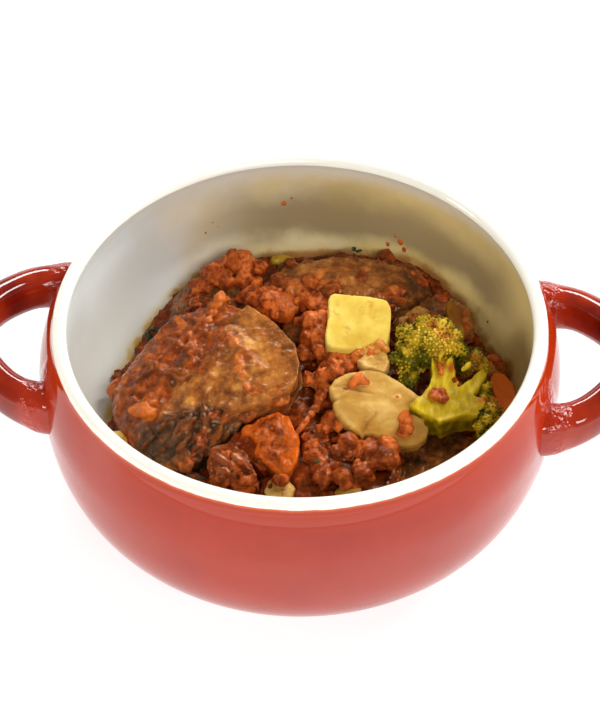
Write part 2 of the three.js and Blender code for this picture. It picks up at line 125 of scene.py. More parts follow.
class Finish:
    """A material made of nodes around one Principled surface."""

    def __init__(self, name, colour, roughness, **settings):
        self.material = bpy.data.materials.new(name)
        self.material.use_nodes = True
        self.tree = self.material.node_tree
        self.surface = self.tree.nodes["Principled BSDF"]
        self.place = self.node("ShaderNodeTexCoord").outputs["Object"]
        self.set("Roughness", roughness)
        self.set("Base Color", colour)
        for socket, value in settings.items():
            self.set(socket.replace("_", " "), value)

    def node(self, kind, **settings):
        made = self.tree.nodes.new(kind)
        for key, value in settings.items():
            setattr(made, key, value)
        return made

    def put(self, socket, value):
        if isinstance(value, bpy.types.NodeSocket):
            self.tree.links.new(value, socket)
        else:
            socket.default_value = value

    def set(self, name, value):
        self.put(self.surface.inputs[name], value)

    def scaled(self, stretch):
        """Object coordinates in millimetres, stretched along each axis."""
        made = self.node("ShaderNodeMapping")
        self.put(made.inputs["Vector"], self.place)
        made.inputs["Scale"].default_value = [s / MM for s in stretch]
        return made.outputs["Vector"]

    def grain(self, size, detail=3, rough=0.55, twist=0.0, stretch=(1, 1, 1), seed=0.0):
        """Noise from 0 to 1 whose bumps are about `size` millimetres."""
        made = self.node("ShaderNodeTexNoise")
        made.noise_dimensions = "4D"
        self.put(made.inputs["Vector"], self.scaled(stretch))
        made.inputs["W"].default_value = seed
        made.inputs["Scale"].default_value = 1 / size
        made.inputs["Detail"].default_value = detail
        made.inputs["Roughness"].default_value = rough
        made.inputs["Distortion"].default_value = twist
        return made.outputs["Fac"]

    def layer(self, name):
        """A value that the mesh carries at each of its points."""
        return self.node("ShaderNodeAttribute", attribute_name=name).outputs["Fac"]

    def maths(self, operation, *values):
        made = self.node("ShaderNodeMath", operation=operation)
        for socket, value in zip(made.inputs, values):
            self.put(socket, value)
        return made.outputs["Value"]

    def plus(self, a, b):
        return self.maths("ADD", a, b)

    def times(self, a, b):
        return self.maths("MULTIPLY", a, b)

    def toned(self, value, share):
        """Value with a share of the mesh's own tone added."""
        return self.plus(value, self.times(self.layer("tone"), share))

    def span(self, value, low, high, to_low=0.0, to_high=1.0):
        """Value eased from low..high to to_low..to_high, and held outside them."""
        made = self.node("ShaderNodeMapRange", interpolation_type="SMOOTHSTEP")
        for name, number in (("Value", value), ("From Min", low), ("From Max", high),
                             ("To Min", to_low), ("To Max", to_high)):
            self.put(made.inputs[name], number)
        return made.outputs["Result"]

    def mix(self, share, a, b):
        made = self.node("ShaderNodeMix", data_type="RGBA")
        colours = [socket for socket in made.inputs if socket.type == "RGBA"]
        for socket, value in zip((made.inputs["Factor"], *colours), (share, a, b)):
            self.put(socket, value)
        return next(socket for socket in made.outputs if socket.type == "RGBA")

    def ramp(self, value, *stops):
        """Colours along a value; each stop is a place from 0 to 1 and its red, green and blue."""
        made = self.node("ShaderNodeValToRGB")
        self.put(made.inputs["Fac"], value)
        set_stops(made, [(place, srgb(*colour)) for place, *colour in stops])
        return made.outputs["Color"]

    def oily(self, shine):
        """The warm sheen of fat on wet food."""
        self.set("Specular IOR Level", shine)
        self.set("Specular Tint", (1.0, 0.72, 0.44, 1))

    def bump(self, height, depth, strength=1.0):
        """Relief of `depth` millimetres."""
        made = self.node("ShaderNodeBump")
        self.put(made.inputs["Height"], height)
        made.inputs["Distance"].default_value = depth * MM
        made.inputs["Strength"].default_value = strength
        previous = self.surface.inputs["Normal"]
        if previous.is_linked:
            self.put(made.inputs["Normal"], previous.links[0].from_socket)
        self.put(previous, made.outputs["Normal"])

    def axis(self, name):
        """One coordinate, in millimetres."""
        made = self.node("ShaderNodeSeparateXYZ")
        self.put(made.inputs["Vector"], self.scaled((1, 1, 1)))
        return made.outputs[name]


# ---- Camera, floor and light

CAMERA_PLACE = (0.01909, -0.33110, 0.39502)
CAMERA_TILT = 43.2
CAMERA_TURN = 3.3
CAMERA_LENS = 83.26
SKY_STEPS = ((0, 2), (0.1, 1.6), (0.28, 0.45), (0.5, 0.2), (1, 0.12))
BOWL_AIM = (0, 0, 0.03)
# Name, place, aim, width, length and power in watts.
WINDOWS = (
    ("window_right", (0.9, 0.55, 0.9), BOWL_AIM, 0.25, 1.1, 15),
    ("window_back", (0.1, 1.2, 0.9), BOWL_AIM, 1.3, 0.2, 13),
    ("window_front", (0.4, -1.05, 1.0), BOWL_AIM, 1.0, 0.3, 12),
    ("window_left", (-1.2, -0.3, 0.5), (0.04, 0.02, 0.04), 0.3, 0.5, 5),
)
WARM_LIGHT = {"window_left": (1, 0.97, 0.9)}
FLOOR_HALF = 3
FLOOR_GLOW = 0.71


def add_camera():
    camera = add_object("camera", bpy.data.cameras.new("camera"))
    camera.location = CAMERA_PLACE
    camera.rotation_euler = (math.radians(CAMERA_TILT), 0, math.radians(CAMERA_TURN))
    camera.data.lens = CAMERA_LENS
    camera.data.clip_start = 0.01
    bpy.context.scene.camera = camera


def add_windows():
    for name, place, aim, width, long, power in WINDOWS:
        lamp = bpy.data.lights.new(name, "AREA")
        lamp.shape = "RECTANGLE"
        lamp.size = width
        lamp.size_y = long
        lamp.energy = power
        lamp.color = WARM_LIGHT.get(name, (1, 1, 1))
        made = add_object(name, lamp)
        made.location = place
        made.rotation_euler = (Vector(aim) - Vector(place)).to_track_quat("-Z", "Y").to_euler()


def add_sky():
    """A white room: bright all round near the table, dim overhead."""
    world = bpy.data.worlds.new("studio")
    bpy.context.scene.world = world
    world.use_nodes = True
    tree = world.node_tree
    way = tree.nodes.new("ShaderNodeTexCoord").outputs["Generated"]
    split = tree.nodes.new("ShaderNodeSeparateXYZ")
    fade = tree.nodes.new("ShaderNodeValToRGB")
    tree.links.new(way, split.inputs["Vector"])
    tree.links.new(split.outputs["Z"], fade.inputs["Fac"])
    tree.links.new(fade.outputs["Color"], tree.nodes["Background"].inputs["Color"])
    set_stops(fade, [(rise, grey(strength)) for rise, strength in SKY_STEPS])


def add_floor():
    paper = Finish("white_table", grey(0.95), 0.5)
    paper.set("Base Color", paper.mix(paper.grain(60, 2), grey(0.44), grey(0.48)))
    paper.set("Emission Color", grey(1))
    paper.set("Emission Strength", FLOOR_GLOW)
    shape = bmesh.new()
    bmesh.ops.create_grid(shape, x_segments=1, y_segments=1, size=FLOOR_HALF)
    add_object("floor", mesh_from(shape, "floor"), paper.material)


bpy.context.scene.view_settings.view_transform = "Standard"
add_camera()
add_sky()
add_windows()
add_floor()


def stew_surface():
    """All of the stew's CAD solids as one shape to lay things on."""
    shape = bmesh.new()
    for name, node in NODES.items():
        if name != "bowl":
            shape.from_mesh(node.data)
    return BVHTree.FromBMesh(shape)


STEW = stew_surface()

# ---- Bowl

BOWL_HEIGHT = 62
RIM_RADIUS = 70
WALL = 4.2
BELLY_RADIUS = 75.2
BELLY_HEIGHT = 42
SHOULDER_CURVE = 2.2
FOOT_RADIUS = 42
FOOT_HEIGHT = 1.5
FOOT_WIDTH = 4
FOOT_HOLLOW = 1.6
# The foot ring's soft edges: how far in from its outside, and how high.
FOOT_EDGE = ((FOOT_WIDTH, 0.3), (FOOT_WIDTH - 0.4, 0), (1, 0), (0.2, 0.5))
OUTER_FULLNESS = 2.8
FLOOR_HEIGHT = 7
FLOOR_RADIUS = 40
INNER_FULLNESS = 2.6
GLAZE_LINE = 1.6
LIP_RADIUS = RIM_RADIUS - WALL / 2
LIP_HEIGHT = BOWL_HEIGHT - WALL / 2
LIP_STEPS = 16
INNER_STEPS = 26
OUTER_STEPS = 30
SHOULDER_STEPS = 12
TURN_STEPS = 200
HANDLE_HEIGHT = 44
HANDLE_RISE = 4.2
HANDLE_HALF_WIDTH = 5.2
HANDLE_HALF_HEIGHT = 6.1
HANDLE_FLARE = 0.24
HANDLE_FLARE_LENGTH = 6
HANDLE_SQUARENESS = 0.85
HANDLE_STEPS = 90
HANDLE_SIDES = 40
ROUTE_STEPS = 24
# The room inside the bowl, which the handles' buried ends are cut back to.
CLEAR_OF_WALL = 1.2
SPACE_HEIGHTS = (20, *range(30, 67, 6))
SPACE_STEPS = 120
SHARP_FROM = 35
DEEP_IN_WHITE = -8
# Half of a handle's middle line in plan, from inside the wall out to its tip.
HANDLE_ROUTE = ((60, 25.5), (72, 24.3), (81, 21.2), (88.8, 14), (93.2, 6.8), (94.6, 0))


def draw_in(z):
    """How far the wall draws in between the belly and the lip."""
    rise = (z - BELLY_HEIGHT) / (LIP_HEIGHT - BELLY_HEIGHT)
    return (BELLY_RADIUS - RIM_RADIUS) * max(0, rise) ** SHOULDER_CURVE


def inner_radius(z):
    """The inner wall's radius at height z."""
    if z >= BELLY_HEIGHT:
        return BELLY_RADIUS - WALL - draw_in(z)
    drop = min(1, (BELLY_HEIGHT - z) / (BELLY_HEIGHT - FLOOR_HEIGHT))
    share = (1 - drop ** INNER_FULLNESS) ** (1 / INNER_FULLNESS)
    return FLOOR_RADIUS + (BELLY_RADIUS - WALL - FLOOR_RADIUS) * share


def lower_wall(bottom_radius, bottom, belly, fullness, steps):
    """Points of a quarter superellipse from the bottom up to the belly."""
    points = []
    for i in range(steps):
        angle = math.pi / 2 * i / steps
        radius = bottom_radius + (belly - bottom_radius) * math.sin(angle) ** (2 / fullness)
        height = BELLY_HEIGHT - (BELLY_HEIGHT - bottom) * math.cos(angle) ** (2 / fullness)
        points.append((radius, height))
    return points


def upper_wall(radius):
    """Points from the belly up to the lip."""
    heights = [BELLY_HEIGHT + (LIP_HEIGHT - BELLY_HEIGHT) * i / SHOULDER_STEPS for i in range(SHOULDER_STEPS)]
    return [(radius - draw_in(z), z) for z in heights]


def bowl_profile():
    """Half of the bowl's section, from the middle of its underside round to the middle of its floor."""
    angles = [math.pi * i / LIP_STEPS for i in range(LIP_STEPS + 1)]
    lip = [(LIP_RADIUS + WALL / 2 * math.cos(a), LIP_HEIGHT + WALL / 2 * math.sin(a)) for a in angles]
    inner = lower_wall(FLOOR_RADIUS, FLOOR_HEIGHT, BELLY_RADIUS - WALL, INNER_FULLNESS, INNER_STEPS)
    return [
        (0, FOOT_HOLLOW),
        (FOOT_RADIUS - FOOT_WIDTH - FOOT_HOLLOW, FOOT_HOLLOW),
        *((FOOT_RADIUS - inward, z) for inward, z in FOOT_EDGE),
        *lower_wall(FOOT_RADIUS, FOOT_HEIGHT, BELLY_RADIUS, OUTER_FULLNESS, OUTER_STEPS),
        *upper_wall(BELLY_RADIUS),
        *lip,
        *reversed(upper_wall(BELLY_RADIUS - WALL)),
        *reversed(inner),
        (0, FLOOR_HEIGHT),
    ]


def turn_profile(shape, points, steps):
    """A full turn of a profile of radii and heights, in millimetres, about the Z axis."""
    verts = [shape.verts.new((radius * MM, 0, z * MM)) for radius, z in points]
    edges = [shape.edges.new(pair) for pair in zip(verts, verts[1:])]
    bmesh.ops.spin(shape, geom=verts + edges, axis=(0, 0, 1), cent=(0, 0, 0),
                   angle=math.tau, steps=steps, use_merge=True)
    bmesh.ops.remove_doubles(shape, verts=shape.verts, dist=0.01 * MM)
    bmesh.ops.recalc_face_normals(shape, faces=shape.faces)


def signed_power(value, power):
    return math.copysign(abs(value) ** power, value)


def smooth_route(points, steps):
    """Even points along a curve through the given ones, and the curve's length."""
    points = [Vector(p) for p in points]
    ends = [2 * points[0] - points[1], *points, 2 * points[-1] - points[-2]]
    fine = []
    for a, b, c, d in zip(ends, ends[1:], ends[2:], ends[3:]):
        for i in range(ROUTE_STEPS):
            t = i / ROUTE_STEPS
            fine.append(0.5 * (2 * b + (c - a) * t + (2 * a - 5 * b + 4 * c - d) * t * t
                               + (3 * b - a - 3 * c + d) * t ** 3))
    fine.append(points[-1])
    lengths = [0]
    for a, b in zip(fine, fine[1:]):
        lengths.append(lengths[-1] + (b - a).length)
    even = []
    for i in range(steps + 1):
        wanted = lengths[-1] * i / steps
        k = max(1, next((n for n, reach in enumerate(lengths) if reach >= wanted), len(lengths) - 1))
        share = (wanted - lengths[k - 1]) / (lengths[k] - lengths[k - 1])
        even.append(fine[k - 1].lerp(fine[k], share))
    return even, lengths[-1]


def handle_mesh(side):
    """One loop; side is 1 for the handle on +X and -1 for the one on -X."""
    joint, tip = HANDLE_ROUTE[1][0], HANDLE_ROUTE[-1][0]

    def place(x, y):
        lift = HANDLE_RISE * max(0, (x - joint) / (tip - joint))
        return (side * x, side * y, HANDLE_HEIGHT + lift)

    half = [place(x, y) for x, y in HANDLE_ROUTE]
    back = [place(x, -y) for x, y in reversed(HANDLE_ROUTE[:-1])]
    route, length = smooth_route(half + back, HANDLE_STEPS)
    buried = (Vector(half[0]) - Vector(half[1])).length
    up = Vector((0, 0, 1))
    shape = bmesh.new()
    rings = []
    for i, middle in enumerate(route):
        along = (route[min(i + 1, HANDLE_STEPS)] - route[max(i - 1, 0)]).normalized()
        across = along.cross(up).normalized()
        clear = max(0, min(i, HANDLE_STEPS - i) / HANDLE_STEPS * length - buried)
        flare = 1 + HANDLE_FLARE * math.exp(-clear / HANDLE_FLARE_LENGTH)
        ring = bmesh.ops.create_circle(shape, segments=HANDLE_SIDES, radius=1)["verts"]
        for vert in ring:
            x, y = vert.co.x, vert.co.y
            vert.co = MM * (middle
                            + across * flare * HANDLE_HALF_WIDTH * signed_power(x, HANDLE_SQUARENESS)
                            + up * flare * HANDLE_HALF_HEIGHT * signed_power(y, HANDLE_SQUARENESS))
        rings.append(ring)
    for a, b in zip(rings, rings[1:]):
        edges = [e for v in a + b for e in v.link_edges if set(e.verts) <= set(a) or set(e.verts) <= set(b)]
        bmesh.ops.bridge_loops(shape, edges=list(dict.fromkeys(edges)))
    for ring in (rings[0], rings[-1]):
        bmesh.ops.contextual_create(shape, geom=ring)
    bmesh.ops.recalc_face_normals(shape, faces=shape.faces)
    return shape


def settle(made):
    """Applies an object's modifiers to its mesh."""
    bpy.context.view_layer.update()
    mesh = bpy.data.meshes.new_from_object(made.evaluated_get(bpy.context.evaluated_depsgraph_get()))
    made.modifiers.clear()
    old = made.data
    made.data = mesh
    mesh.name = made.name
    bpy.data.meshes.remove(old)


def cut_or_join(made, other, operation):
    modifier = made.modifiers.new(operation, "BOOLEAN")
    modifier.operation = operation
    modifier.solver = "EXACT"
    modifier.object = other
    settle(made)
    bpy.data.objects.remove(other)


def bowl_glaze():
    """Red glaze outside and cream-white glaze inside, split by the layer that the mesh carries.

    Inside, oil from the stew stains the wall next to it, browner to the back and right. A warm tint below the
    lip to the back and right is partly oil and partly painted warm light bounced off the stew; a
    brownish-grey band at mid height on the back wall and a grey tint low on the left wall are painted shade.
    """
    glaze = Finish("bowl_glaze", srgb(170, 50, 30), 0.06, IOR=1.5)
    edge = glaze.plus(glaze.layer("glaze_side"), glaze.span(glaze.grain(5, 3), 0, 1, -0.22, 0.22))
    red = glaze.ramp(glaze.grain(16, 4, 0.6), (0.3, 156, 38, 12), (0.7, 168, 45, 17))
    red = glaze.mix(glaze.span(edge, 1, 7), srgb(170, 47, 8), red)
    out = glaze.maths("ABSOLUTE", glaze.axis("X"))
    aside = glaze.maths("ABSOLUTE", glaze.axis("Y"))
    # The handles are painted a darker red: painted shade standing in for the dark ceiling they reflect.
    handle_painted_shade_red = glaze.ramp(glaze.grain(14, 3, 0.5, seed=8), (0.35, 104, 18, 8), (0.65, 164, 46, 16))
    red = glaze.mix(glaze.span(out, 75, 80), red, handle_painted_shade_red)
    red = glaze.mix(glaze.span(edge, 0.25, 0.9), srgb(204, 92, 34), red)

    across = glaze.plus(glaze.times(glaze.axis("X"), 0.8 / RIM_RADIUS),
                        glaze.times(glaze.axis("Y"), 0.6 / RIM_RADIUS))
    height = glaze.axis("Z")
    patchy = glaze.span(glaze.grain(18, 3, 0.5, seed=2), 0.3, 0.7, -0.18, 0.18)
    # Warm tint below the lip to the back and right: partly oil, partly painted warm light bounced off the
    # stew.
    warm = glaze.times(glaze.span(glaze.plus(across, patchy), -0.3, 0.9), glaze.span(height, 60, 48))
    uneven = glaze.plus(height, glaze.span(glaze.grain(16, 3, 0.5, seed=5), 0.3, 0.7, -2.5, 2.5))
    # Painted shade: a brownish-grey band at mid height on the back wall.
    painted_shade_band = glaze.times(glaze.span(uneven, 56, 36), glaze.span(uneven, 23, 31))
    painted_shade_band = glaze.times(painted_shade_band, glaze.span(across, -0.1, 0.5, 0.2, 0.85))
    painted_shade_band = glaze.times(painted_shade_band, glaze.span(glaze.axis("Y"), 24, 44))
    # Painted shade: grey low down on the left wall.
    painted_shade_left_low = glaze.times(glaze.span(uneven, 48, 22), glaze.span(across, 0.1, -0.4))
    ragged = glaze.span(glaze.grain(6, 3, 0.5, twist=0.4), 0.25, 0.75, -0.9, 0.9)
    away = glaze.times(glaze.plus(glaze.layer("from_stew"), ragged), glaze.span(across, -0.3, 0.9, 1.9, 0.9))
    oil = glaze.mix(glaze.span(across, -0.2, 0.7), srgb(196, 150, 50), srgb(166, 100, 34))
    white = glaze.mix(glaze.grain(9, 3), srgb(248, 246, 238), srgb(242, 239, 229))
    white = glaze.mix(glaze.span(across, 0.1, -0.3), white, srgb(236, 243, 242))
    near_stew, at_stew = glaze.span(away, 5.5, 1, 0, 0.5), glaze.span(away, 2.6, 0.3, 0, 0.85)
    tints = ((warm, srgb(240, 216, 146)), (painted_shade_band, srgb(150, 130, 96)), (painted_shade_left_low, srgb(208, 206, 196)),
             (near_stew, srgb(214, 184, 104)), (at_stew, oil))
    for share, colour in tints:
        white = glaze.mix(share, white, colour)
    white = glaze.mix(glaze.span(height, 57, 61), white, srgb(238, 235, 222))

    glaze.set("Base Color", glaze.mix(glaze.span(edge, -0.06, 0.06), white, red))
    glaze.set("Specular IOR Level", 0.52)
    glaze.bump(glaze.grain(7, 2, 0.4), 0.05, 0.3)
    joint = glaze.times(glaze.span(out, 68, 71), glaze.span(out, 78, 74))
    joint = glaze.times(joint, glaze.span(aside, 16, 20))
    glaze.bump(glaze.times(joint, glaze.grain(1.6, 2, 0.5)), 0.8, 0.8)
    return glaze.material


def glaze_side(places):
    """Distance from the line where red glaze meets white: above 0 on the red side, below 0 on the white."""
    reach = np.hypot(places[:, 0], places[:, 1])
    middle = np.array([LIP_RADIUS if z > LIP_HEIGHT else inner_radius(max(z, FLOOR_HEIGHT)) + WALL / 2
                       for z in places[:, 2]])
    lip_height = places[:, 2] - LIP_HEIGHT
    angle = np.arctan2(np.maximum(lip_height, 0), reach - LIP_RADIUS)
    line = math.asin((WALL / 2 - GLAZE_LINE) / (WALL / 2))
    on_lip = (line - angle) * WALL / 2
    outside = (reach > middle) | (places[:, 2] < FLOOR_HEIGHT - 1)
    below = np.where(outside, on_lip.max() - np.minimum(lip_height, 0), DEEP_IN_WHITE)
    return np.where(lip_height > 0, on_lip, below)


def make_bowl():
    shape = bmesh.new()
    turn_profile(shape, bowl_profile(), TURN_STEPS)
    bowl = add_object("glazed_bowl", mesh_from(shape, "glazed_bowl"))
    for side in (1, -1):
        handle = add_object("handle", mesh_from(handle_mesh(side), "handle"))
        wall = [(inner_radius(z) + CLEAR_OF_WALL, z) for z in SPACE_HEIGHTS]
        space = bmesh.new()
        turn_profile(space, [(0, SPACE_HEIGHTS[0]), *wall, (0, SPACE_HEIGHTS[-1])], SPACE_STEPS)
        cut_or_join(handle, add_object("space", mesh_from(space, "space")), "DIFFERENCE")
        cut_or_join(bowl, handle, "UNION")
    mesh = bowl.data
    write_layer(mesh, "glaze_side", glaze_side(read_rows(mesh.vertices, "co", 3) / MM))
    write_layer(mesh, "from_stew", [STEW.find_nearest(vert.co)[3] / MM for vert in mesh.vertices])
    mesh.shade_smooth()
    mesh.set_sharp_from_angle(angle=math.radians(SHARP_FROM))
    place_piece(bowl, bowl_glaze(), "bowl_glaze", "bowl")


make_bowl()

# ---- Food: shapes gathered in a heap and joined under one skin

FAR = 1000
# Half the seam where a lump's own colour fades into the piece's, and how often colours are averaged.
SEAM = 0.2
BLEND_STEPS = 6
# Painted shade: a hollow this deep, below the mesh averaged so many times, is painted darkest; a bump is
# painted lighter, but less.
HOLLOW_DEPTH = 0.35
HOLLOW_STEPS = 14
BULGE_STEPS = 3
BULGE_LIGHT = 0.3
FACES_UP = 0.7
NO_STEW_HEIGHT = 15
# Subdivisions of a bud, of a lump, and of a lump with a half length over LARGE_LUMP.
BUD, FINE, FINEST = 1, 3, 4
LARGE_LUMP = 2.2


def ball(fineness):
    """Points and faces of a round lump of radius 1."""
    shape = bmesh.new()
    bmesh.ops.create_icosphere(shape, subdivisions=fineness, radius=1)
    return points_and_faces(shape)


BALLS = {fineness: ball(fineness) for fineness in (BUD, FINE, FINEST)}


def top_at(x, y):
    """The stew's top at a place in plan: its point and its normal, in millimetres."""
    point, normal, _, _ = STEW.ray_cast(Vector((x * MM, y * MM, 0.1)), Vector((0, 0, -1)))
    if point is None:
        return Vector((x, y, NO_STEW_HEIGHT)), Vector((0, 0, 1))
    return point / MM, normal


def smoothstep(low, high, value):
    share = min(1, max(0, (value - low) / (high - low)))
    return share * share * (3 - 2 * share)


def ripples(point, size, seed=0.0, octaves=1):
    """Smooth noise from -1 to 1 with waves of about `size`."""
    total, share = 0, 1
    place = Vector(point) / size + Vector((seed, 1.7 * seed, -seed))
    for _ in range(octaves):
        total += share * noise.noise(place)
        place *= 2.1
        share *= 0.5
    return total


def blended(layers, ends, steps):
    """Each layer of values averaged along a mesh's edges, a number of times."""
    count = layers.shape[1]
    links = np.maximum(np.bincount(ends.ravel(), minlength=count), 1)
    one, other = ends.T
    for _ in range(steps):
        sums = [np.bincount(one, values[other], count) + np.bincount(other, values[one], count)
                for values in layers]
        layers = np.array(sums) / links
    return layers


class Heap:
    """Closed shapes laid one over another, each with its own coat of sauce and tone of colour."""

    def __init__(self, seed):
        self.random = random.Random(seed)
        self.points = []
        self.faces = []
        self.tints = []
        self.levels = []
        self.count = 0

    def add(self, points, faces, coat, tone, own=1.0):
        self.points.append(points)
        self.faces.append(faces + self.count)
        self.count += len(points)
        self.tints.append(np.tile((own * coat, own * tone, own), (len(points), 1)))

    def core(self, node):
        """The CAD solid, whose colours the paint function gives."""
        shape = bmesh.new()
        shape.from_mesh(NODES[node].data)
        bmesh.ops.remove_doubles(shape, verts=shape.verts, dist=0.001 * MM)
        bmesh.ops.triangulate(shape, faces=shape.faces)
        points, faces = points_and_faces(shape)
        self.add(points / MM, faces, 0, 0, own=0.0)

    def plate(self, outline, level, thick):
        """A flat piece with an outline in plan and its top at level(x, y), painted as the core is."""
        self.levels.append(level)
        shape = bmesh.new()
        base = shape.faces.new([shape.verts.new((x, y, level(x, y) - thick)) for x, y in outline])
        grown = bmesh.ops.extrude_face_region(shape, geom=[base])
        for vert in grown["geom"]:
            if isinstance(vert, bmesh.types.BMVert):
                vert.co.z += thick
        bmesh.ops.triangulate(shape, faces=shape.faces)
        bmesh.ops.recalc_face_normals(shape, faces=shape.faces)
        self.add(*points_and_faces(shape), 0, 0, own=0.0)

    def lump(self, middle, size, turn=(0, 0, 0), coat=1.0, tone=0.0, knobs=0.45, fineness=FINE):
        """An uneven round lump; `size` is its half lengths and `turn` its angles in degrees."""
        seed = self.random.uniform(0, 90)
        points, faces = BALLS[fineness]
        swell = [1 + knobs * (ripples(p, 0.75, seed) + 0.45 * ripples(p, 0.33, seed)) for p in points]
        points = points * np.array(swell)[:, None] * np.array(size)
        turned = points @ np.array(Euler([math.radians(a) for a in turn]).to_matrix()).T
        self.add(turned + np.array(middle), faces, coat, tone)

    def lay(self, x, y, size, turn=0.0, sink=0.35, **looks):
        """A lump that lies on the stew at x, y, sunk into it by a share of its thickness."""
        point, normal = top_at(x, y)
        lean = normal.to_track_quat("Z", "Y").to_euler()
        spin = Euler((0, 0, math.radians(turn))).to_matrix()
        tilt = (lean.to_matrix() @ spin).to_euler()
        middle = point + normal * size[2] * (1 - 2 * sink)
        self.lump(middle, size, [math.degrees(a) for a in tilt], **looks)

    def lay_each(self, rows, **looks):
        for x, y, long, wide, thick, turn, tone in rows:
            self.lay(x, y, (long, wide, thick), turn, tone=tone, **looks)

    def scatter(self, outline, count, sizes, turn=0.0, spread=90.0, long=(1.0, 1.9), flat=(0.45, 0.85),
                tones=(-0.4, 0.5), sink=(0.15, 0.5), knobs=0.45, coat=1.0):
        """Lumps laid at chance places inside an outline in plan; sizes are half lengths."""
        chance = self.random
        xs, ys = zip(*outline)
        laid = 0
        while laid < count:
            x, y = chance.uniform(min(xs), max(xs)), chance.uniform(min(ys), max(ys))
            if not inside(x, y, outline):
                continue
            half = sizes[0] + (sizes[1] - sizes[0]) * chance.random() ** 2
            size = (half, half / chance.uniform(*long), half * chance.uniform(*flat))
            self.lay(x, y, size, turn + chance.uniform(-spread, spread), sink=chance.uniform(*sink),
                     coat=coat, tone=chance.uniform(*tones), knobs=knobs,
                     fineness=FINEST if half > LARGE_LUMP else FINE)
            laid += 1

    def strew(self, fields):
        """Scatters each field: its outline, how many lumps, their sizes and how they lie."""
        for outline, count, sizes, settings in fields:
            self.scatter(outline, count, sizes, **settings)

    def tints_at(self, places, points, faces, tints):
        """Coat, tone and share of the lumps' own colour at each place."""
        marked = tints[faces[:, 0], 2] > 0.5
        lumps, plain = faces[marked], faces[~marked]
        corners = [Vector(p) for p in points]
        lump_tree, plain_tree = (BVHTree.FromPolygons(corners, chosen.tolist()) for chosen in (lumps, plain))
        found = np.zeros((len(places), 3))
        for i, place in enumerate(places):
            _, _, face, from_lump = lump_tree.find_nearest(Vector(place))
            _, _, _, from_plain = plain_tree.find_nearest(Vector(place))
            if face is None:
                from_lump = FAR
            else:
                found[i] = tints[lumps[face][0]]
            found[i, 2] = smoothstep(-SEAM, SEAM, (FAR if from_plain is None else from_plain) - from_lump)
        return found

    def skin(self, name, voxel=0.45, smooth=2, relief=None, paint=None, inset=0.25, shade=0.5):
        """One closed mesh round everything, with `relief` in millimetres along its normals.

        Its hollows are painted darker than its bumps, as painted shade, by the tone `shade`; its bumps get a
        little painted light.
        """
        points = np.concatenate(self.points)
        faces = np.concatenate(self.faces)
        tints = np.concatenate(self.tints)
        made = add_object(name, mesh_of(points, faces, name))
        remesh = made.modifiers.new("skin", "REMESH")
        remesh.mode = "VOXEL"
        remesh.voxel_size = voxel * MM
        smoothing = made.modifiers.new("smooth", "SMOOTH")
        smoothing.factor = 0.5
        smoothing.iterations = smooth
        settle(made)
        mesh = made.data
        places = read_rows(mesh.vertices, "co", 3) / MM
        normals = read_rows(mesh.vertices, "normal", 3)
        for level in self.levels:
            gap = np.array([level(x, y) for x, y, _ in places]) - places[:, 2]
            places[:, 2] += gap * np.clip(2 - np.abs(gap) / voxel, 0, 1) * (normals[:, 2] > FACES_UP)
        coat, tone, own = self.tints_at(places, points, faces, tints).T
        if paint:
            bare = np.array([paint(*place) for place in places])
            coat = own * coat + (1 - own) * bare[:, 0]
            tone = own * tone + (1 - own) * bare[:, 1]
        ends = read_rows(mesh.edges, "vertices", 2, np.int32)
        coat, tone = blended(np.array([coat, tone]), ends, BLEND_STEPS)
        # Painted shade: hollows below the averaged mesh are toned darker, and bumps a little lighter.
        bulge = ((places - blended(places.T, ends, HOLLOW_STEPS).T) * normals).sum(axis=1)
        bulge, = blended(bulge[None], ends, BULGE_STEPS)
        tone = tone + shade * np.clip(bulge / HOLLOW_DEPTH, -1, BULGE_LIGHT)
        if relief:
            places += normals * np.array([relief(p, c) for p, c in zip(places, coat)])[:, None]
        reach = np.hypot(places[:, 0], places[:, 1])
        most = np.array([inner_radius(max(z, FLOOR_HEIGHT)) for z in places[:, 2]]) - inset
        pull = np.minimum(1, most / np.maximum(reach, 1e-6))
        places[:, :2] *= pull[:, None]
        mesh.vertices.foreach_set("co", (places * MM).ravel())
        write_layer(mesh, "coat", coat)
        write_layer(mesh, "tone", tone)
        mesh.shade_smooth()
        mesh.update()
        return made


# ---- Finishes of the food

def sauce_colour(finish):
    """Tomato-brown sauce, darker in its hollows through the tone's painted shade, with orange lumps and small
    pale bits.
    """
    fine = finish.span(finish.grain(2.8, 4, 0.6, twist=0.5), 0.22, 0.78, 0.1, 0.9)
    red = finish.ramp(finish.toned(fine, 0.36), (0.12, 74, 27, 8), (0.38, 122, 48, 14), (0.6, 154, 66, 22),
                      (0.95, 214, 110, 44))
    bits = finish.span(finish.grain(0.9, 3, 0.6, seed=7), 0.58, 0.7, 0, 0.3)
    return finish.mix(bits, red, srgb(204, 116, 52))


def wet(finish, fine=0.8, depth=0.15, shine=0.5):
    """Small wrinkles and an uneven shine."""
    finish.oily(shine)
    finish.set("Roughness", finish.span(finish.grain(1.2, 3, 0.6), 0.35, 0.65, 0.04, 0.2))
    finish.bump(finish.grain(fine, 3, 0.55), depth, 0.7)
    finish.bump(finish.grain(1.4, 2, 0.5, twist=0.4), 2.4 * depth, 0.8)


def food(name, colour, roughness, through, depth=0.0015, glow=(1.0, 0.45, 0.2)):
    """A moist finish that lets some light through: a share `through`, to about `depth` metres."""
    return Finish(name, colour, roughness, IOR=1.4, Subsurface_Weight=through, Subsurface_Scale=depth,
                  Subsurface_Radius=glow)


def stained(finish, plain, size, low, high, stain, most=1.0):
    """Colour `plain` with sauce soaked in where the mesh's own coat says so."""
    share = finish.span(finish.plus(finish.layer("coat"), finish.grain(*size)), low, high, 0, most)
    return finish.mix(share, plain, srgb(*stain))


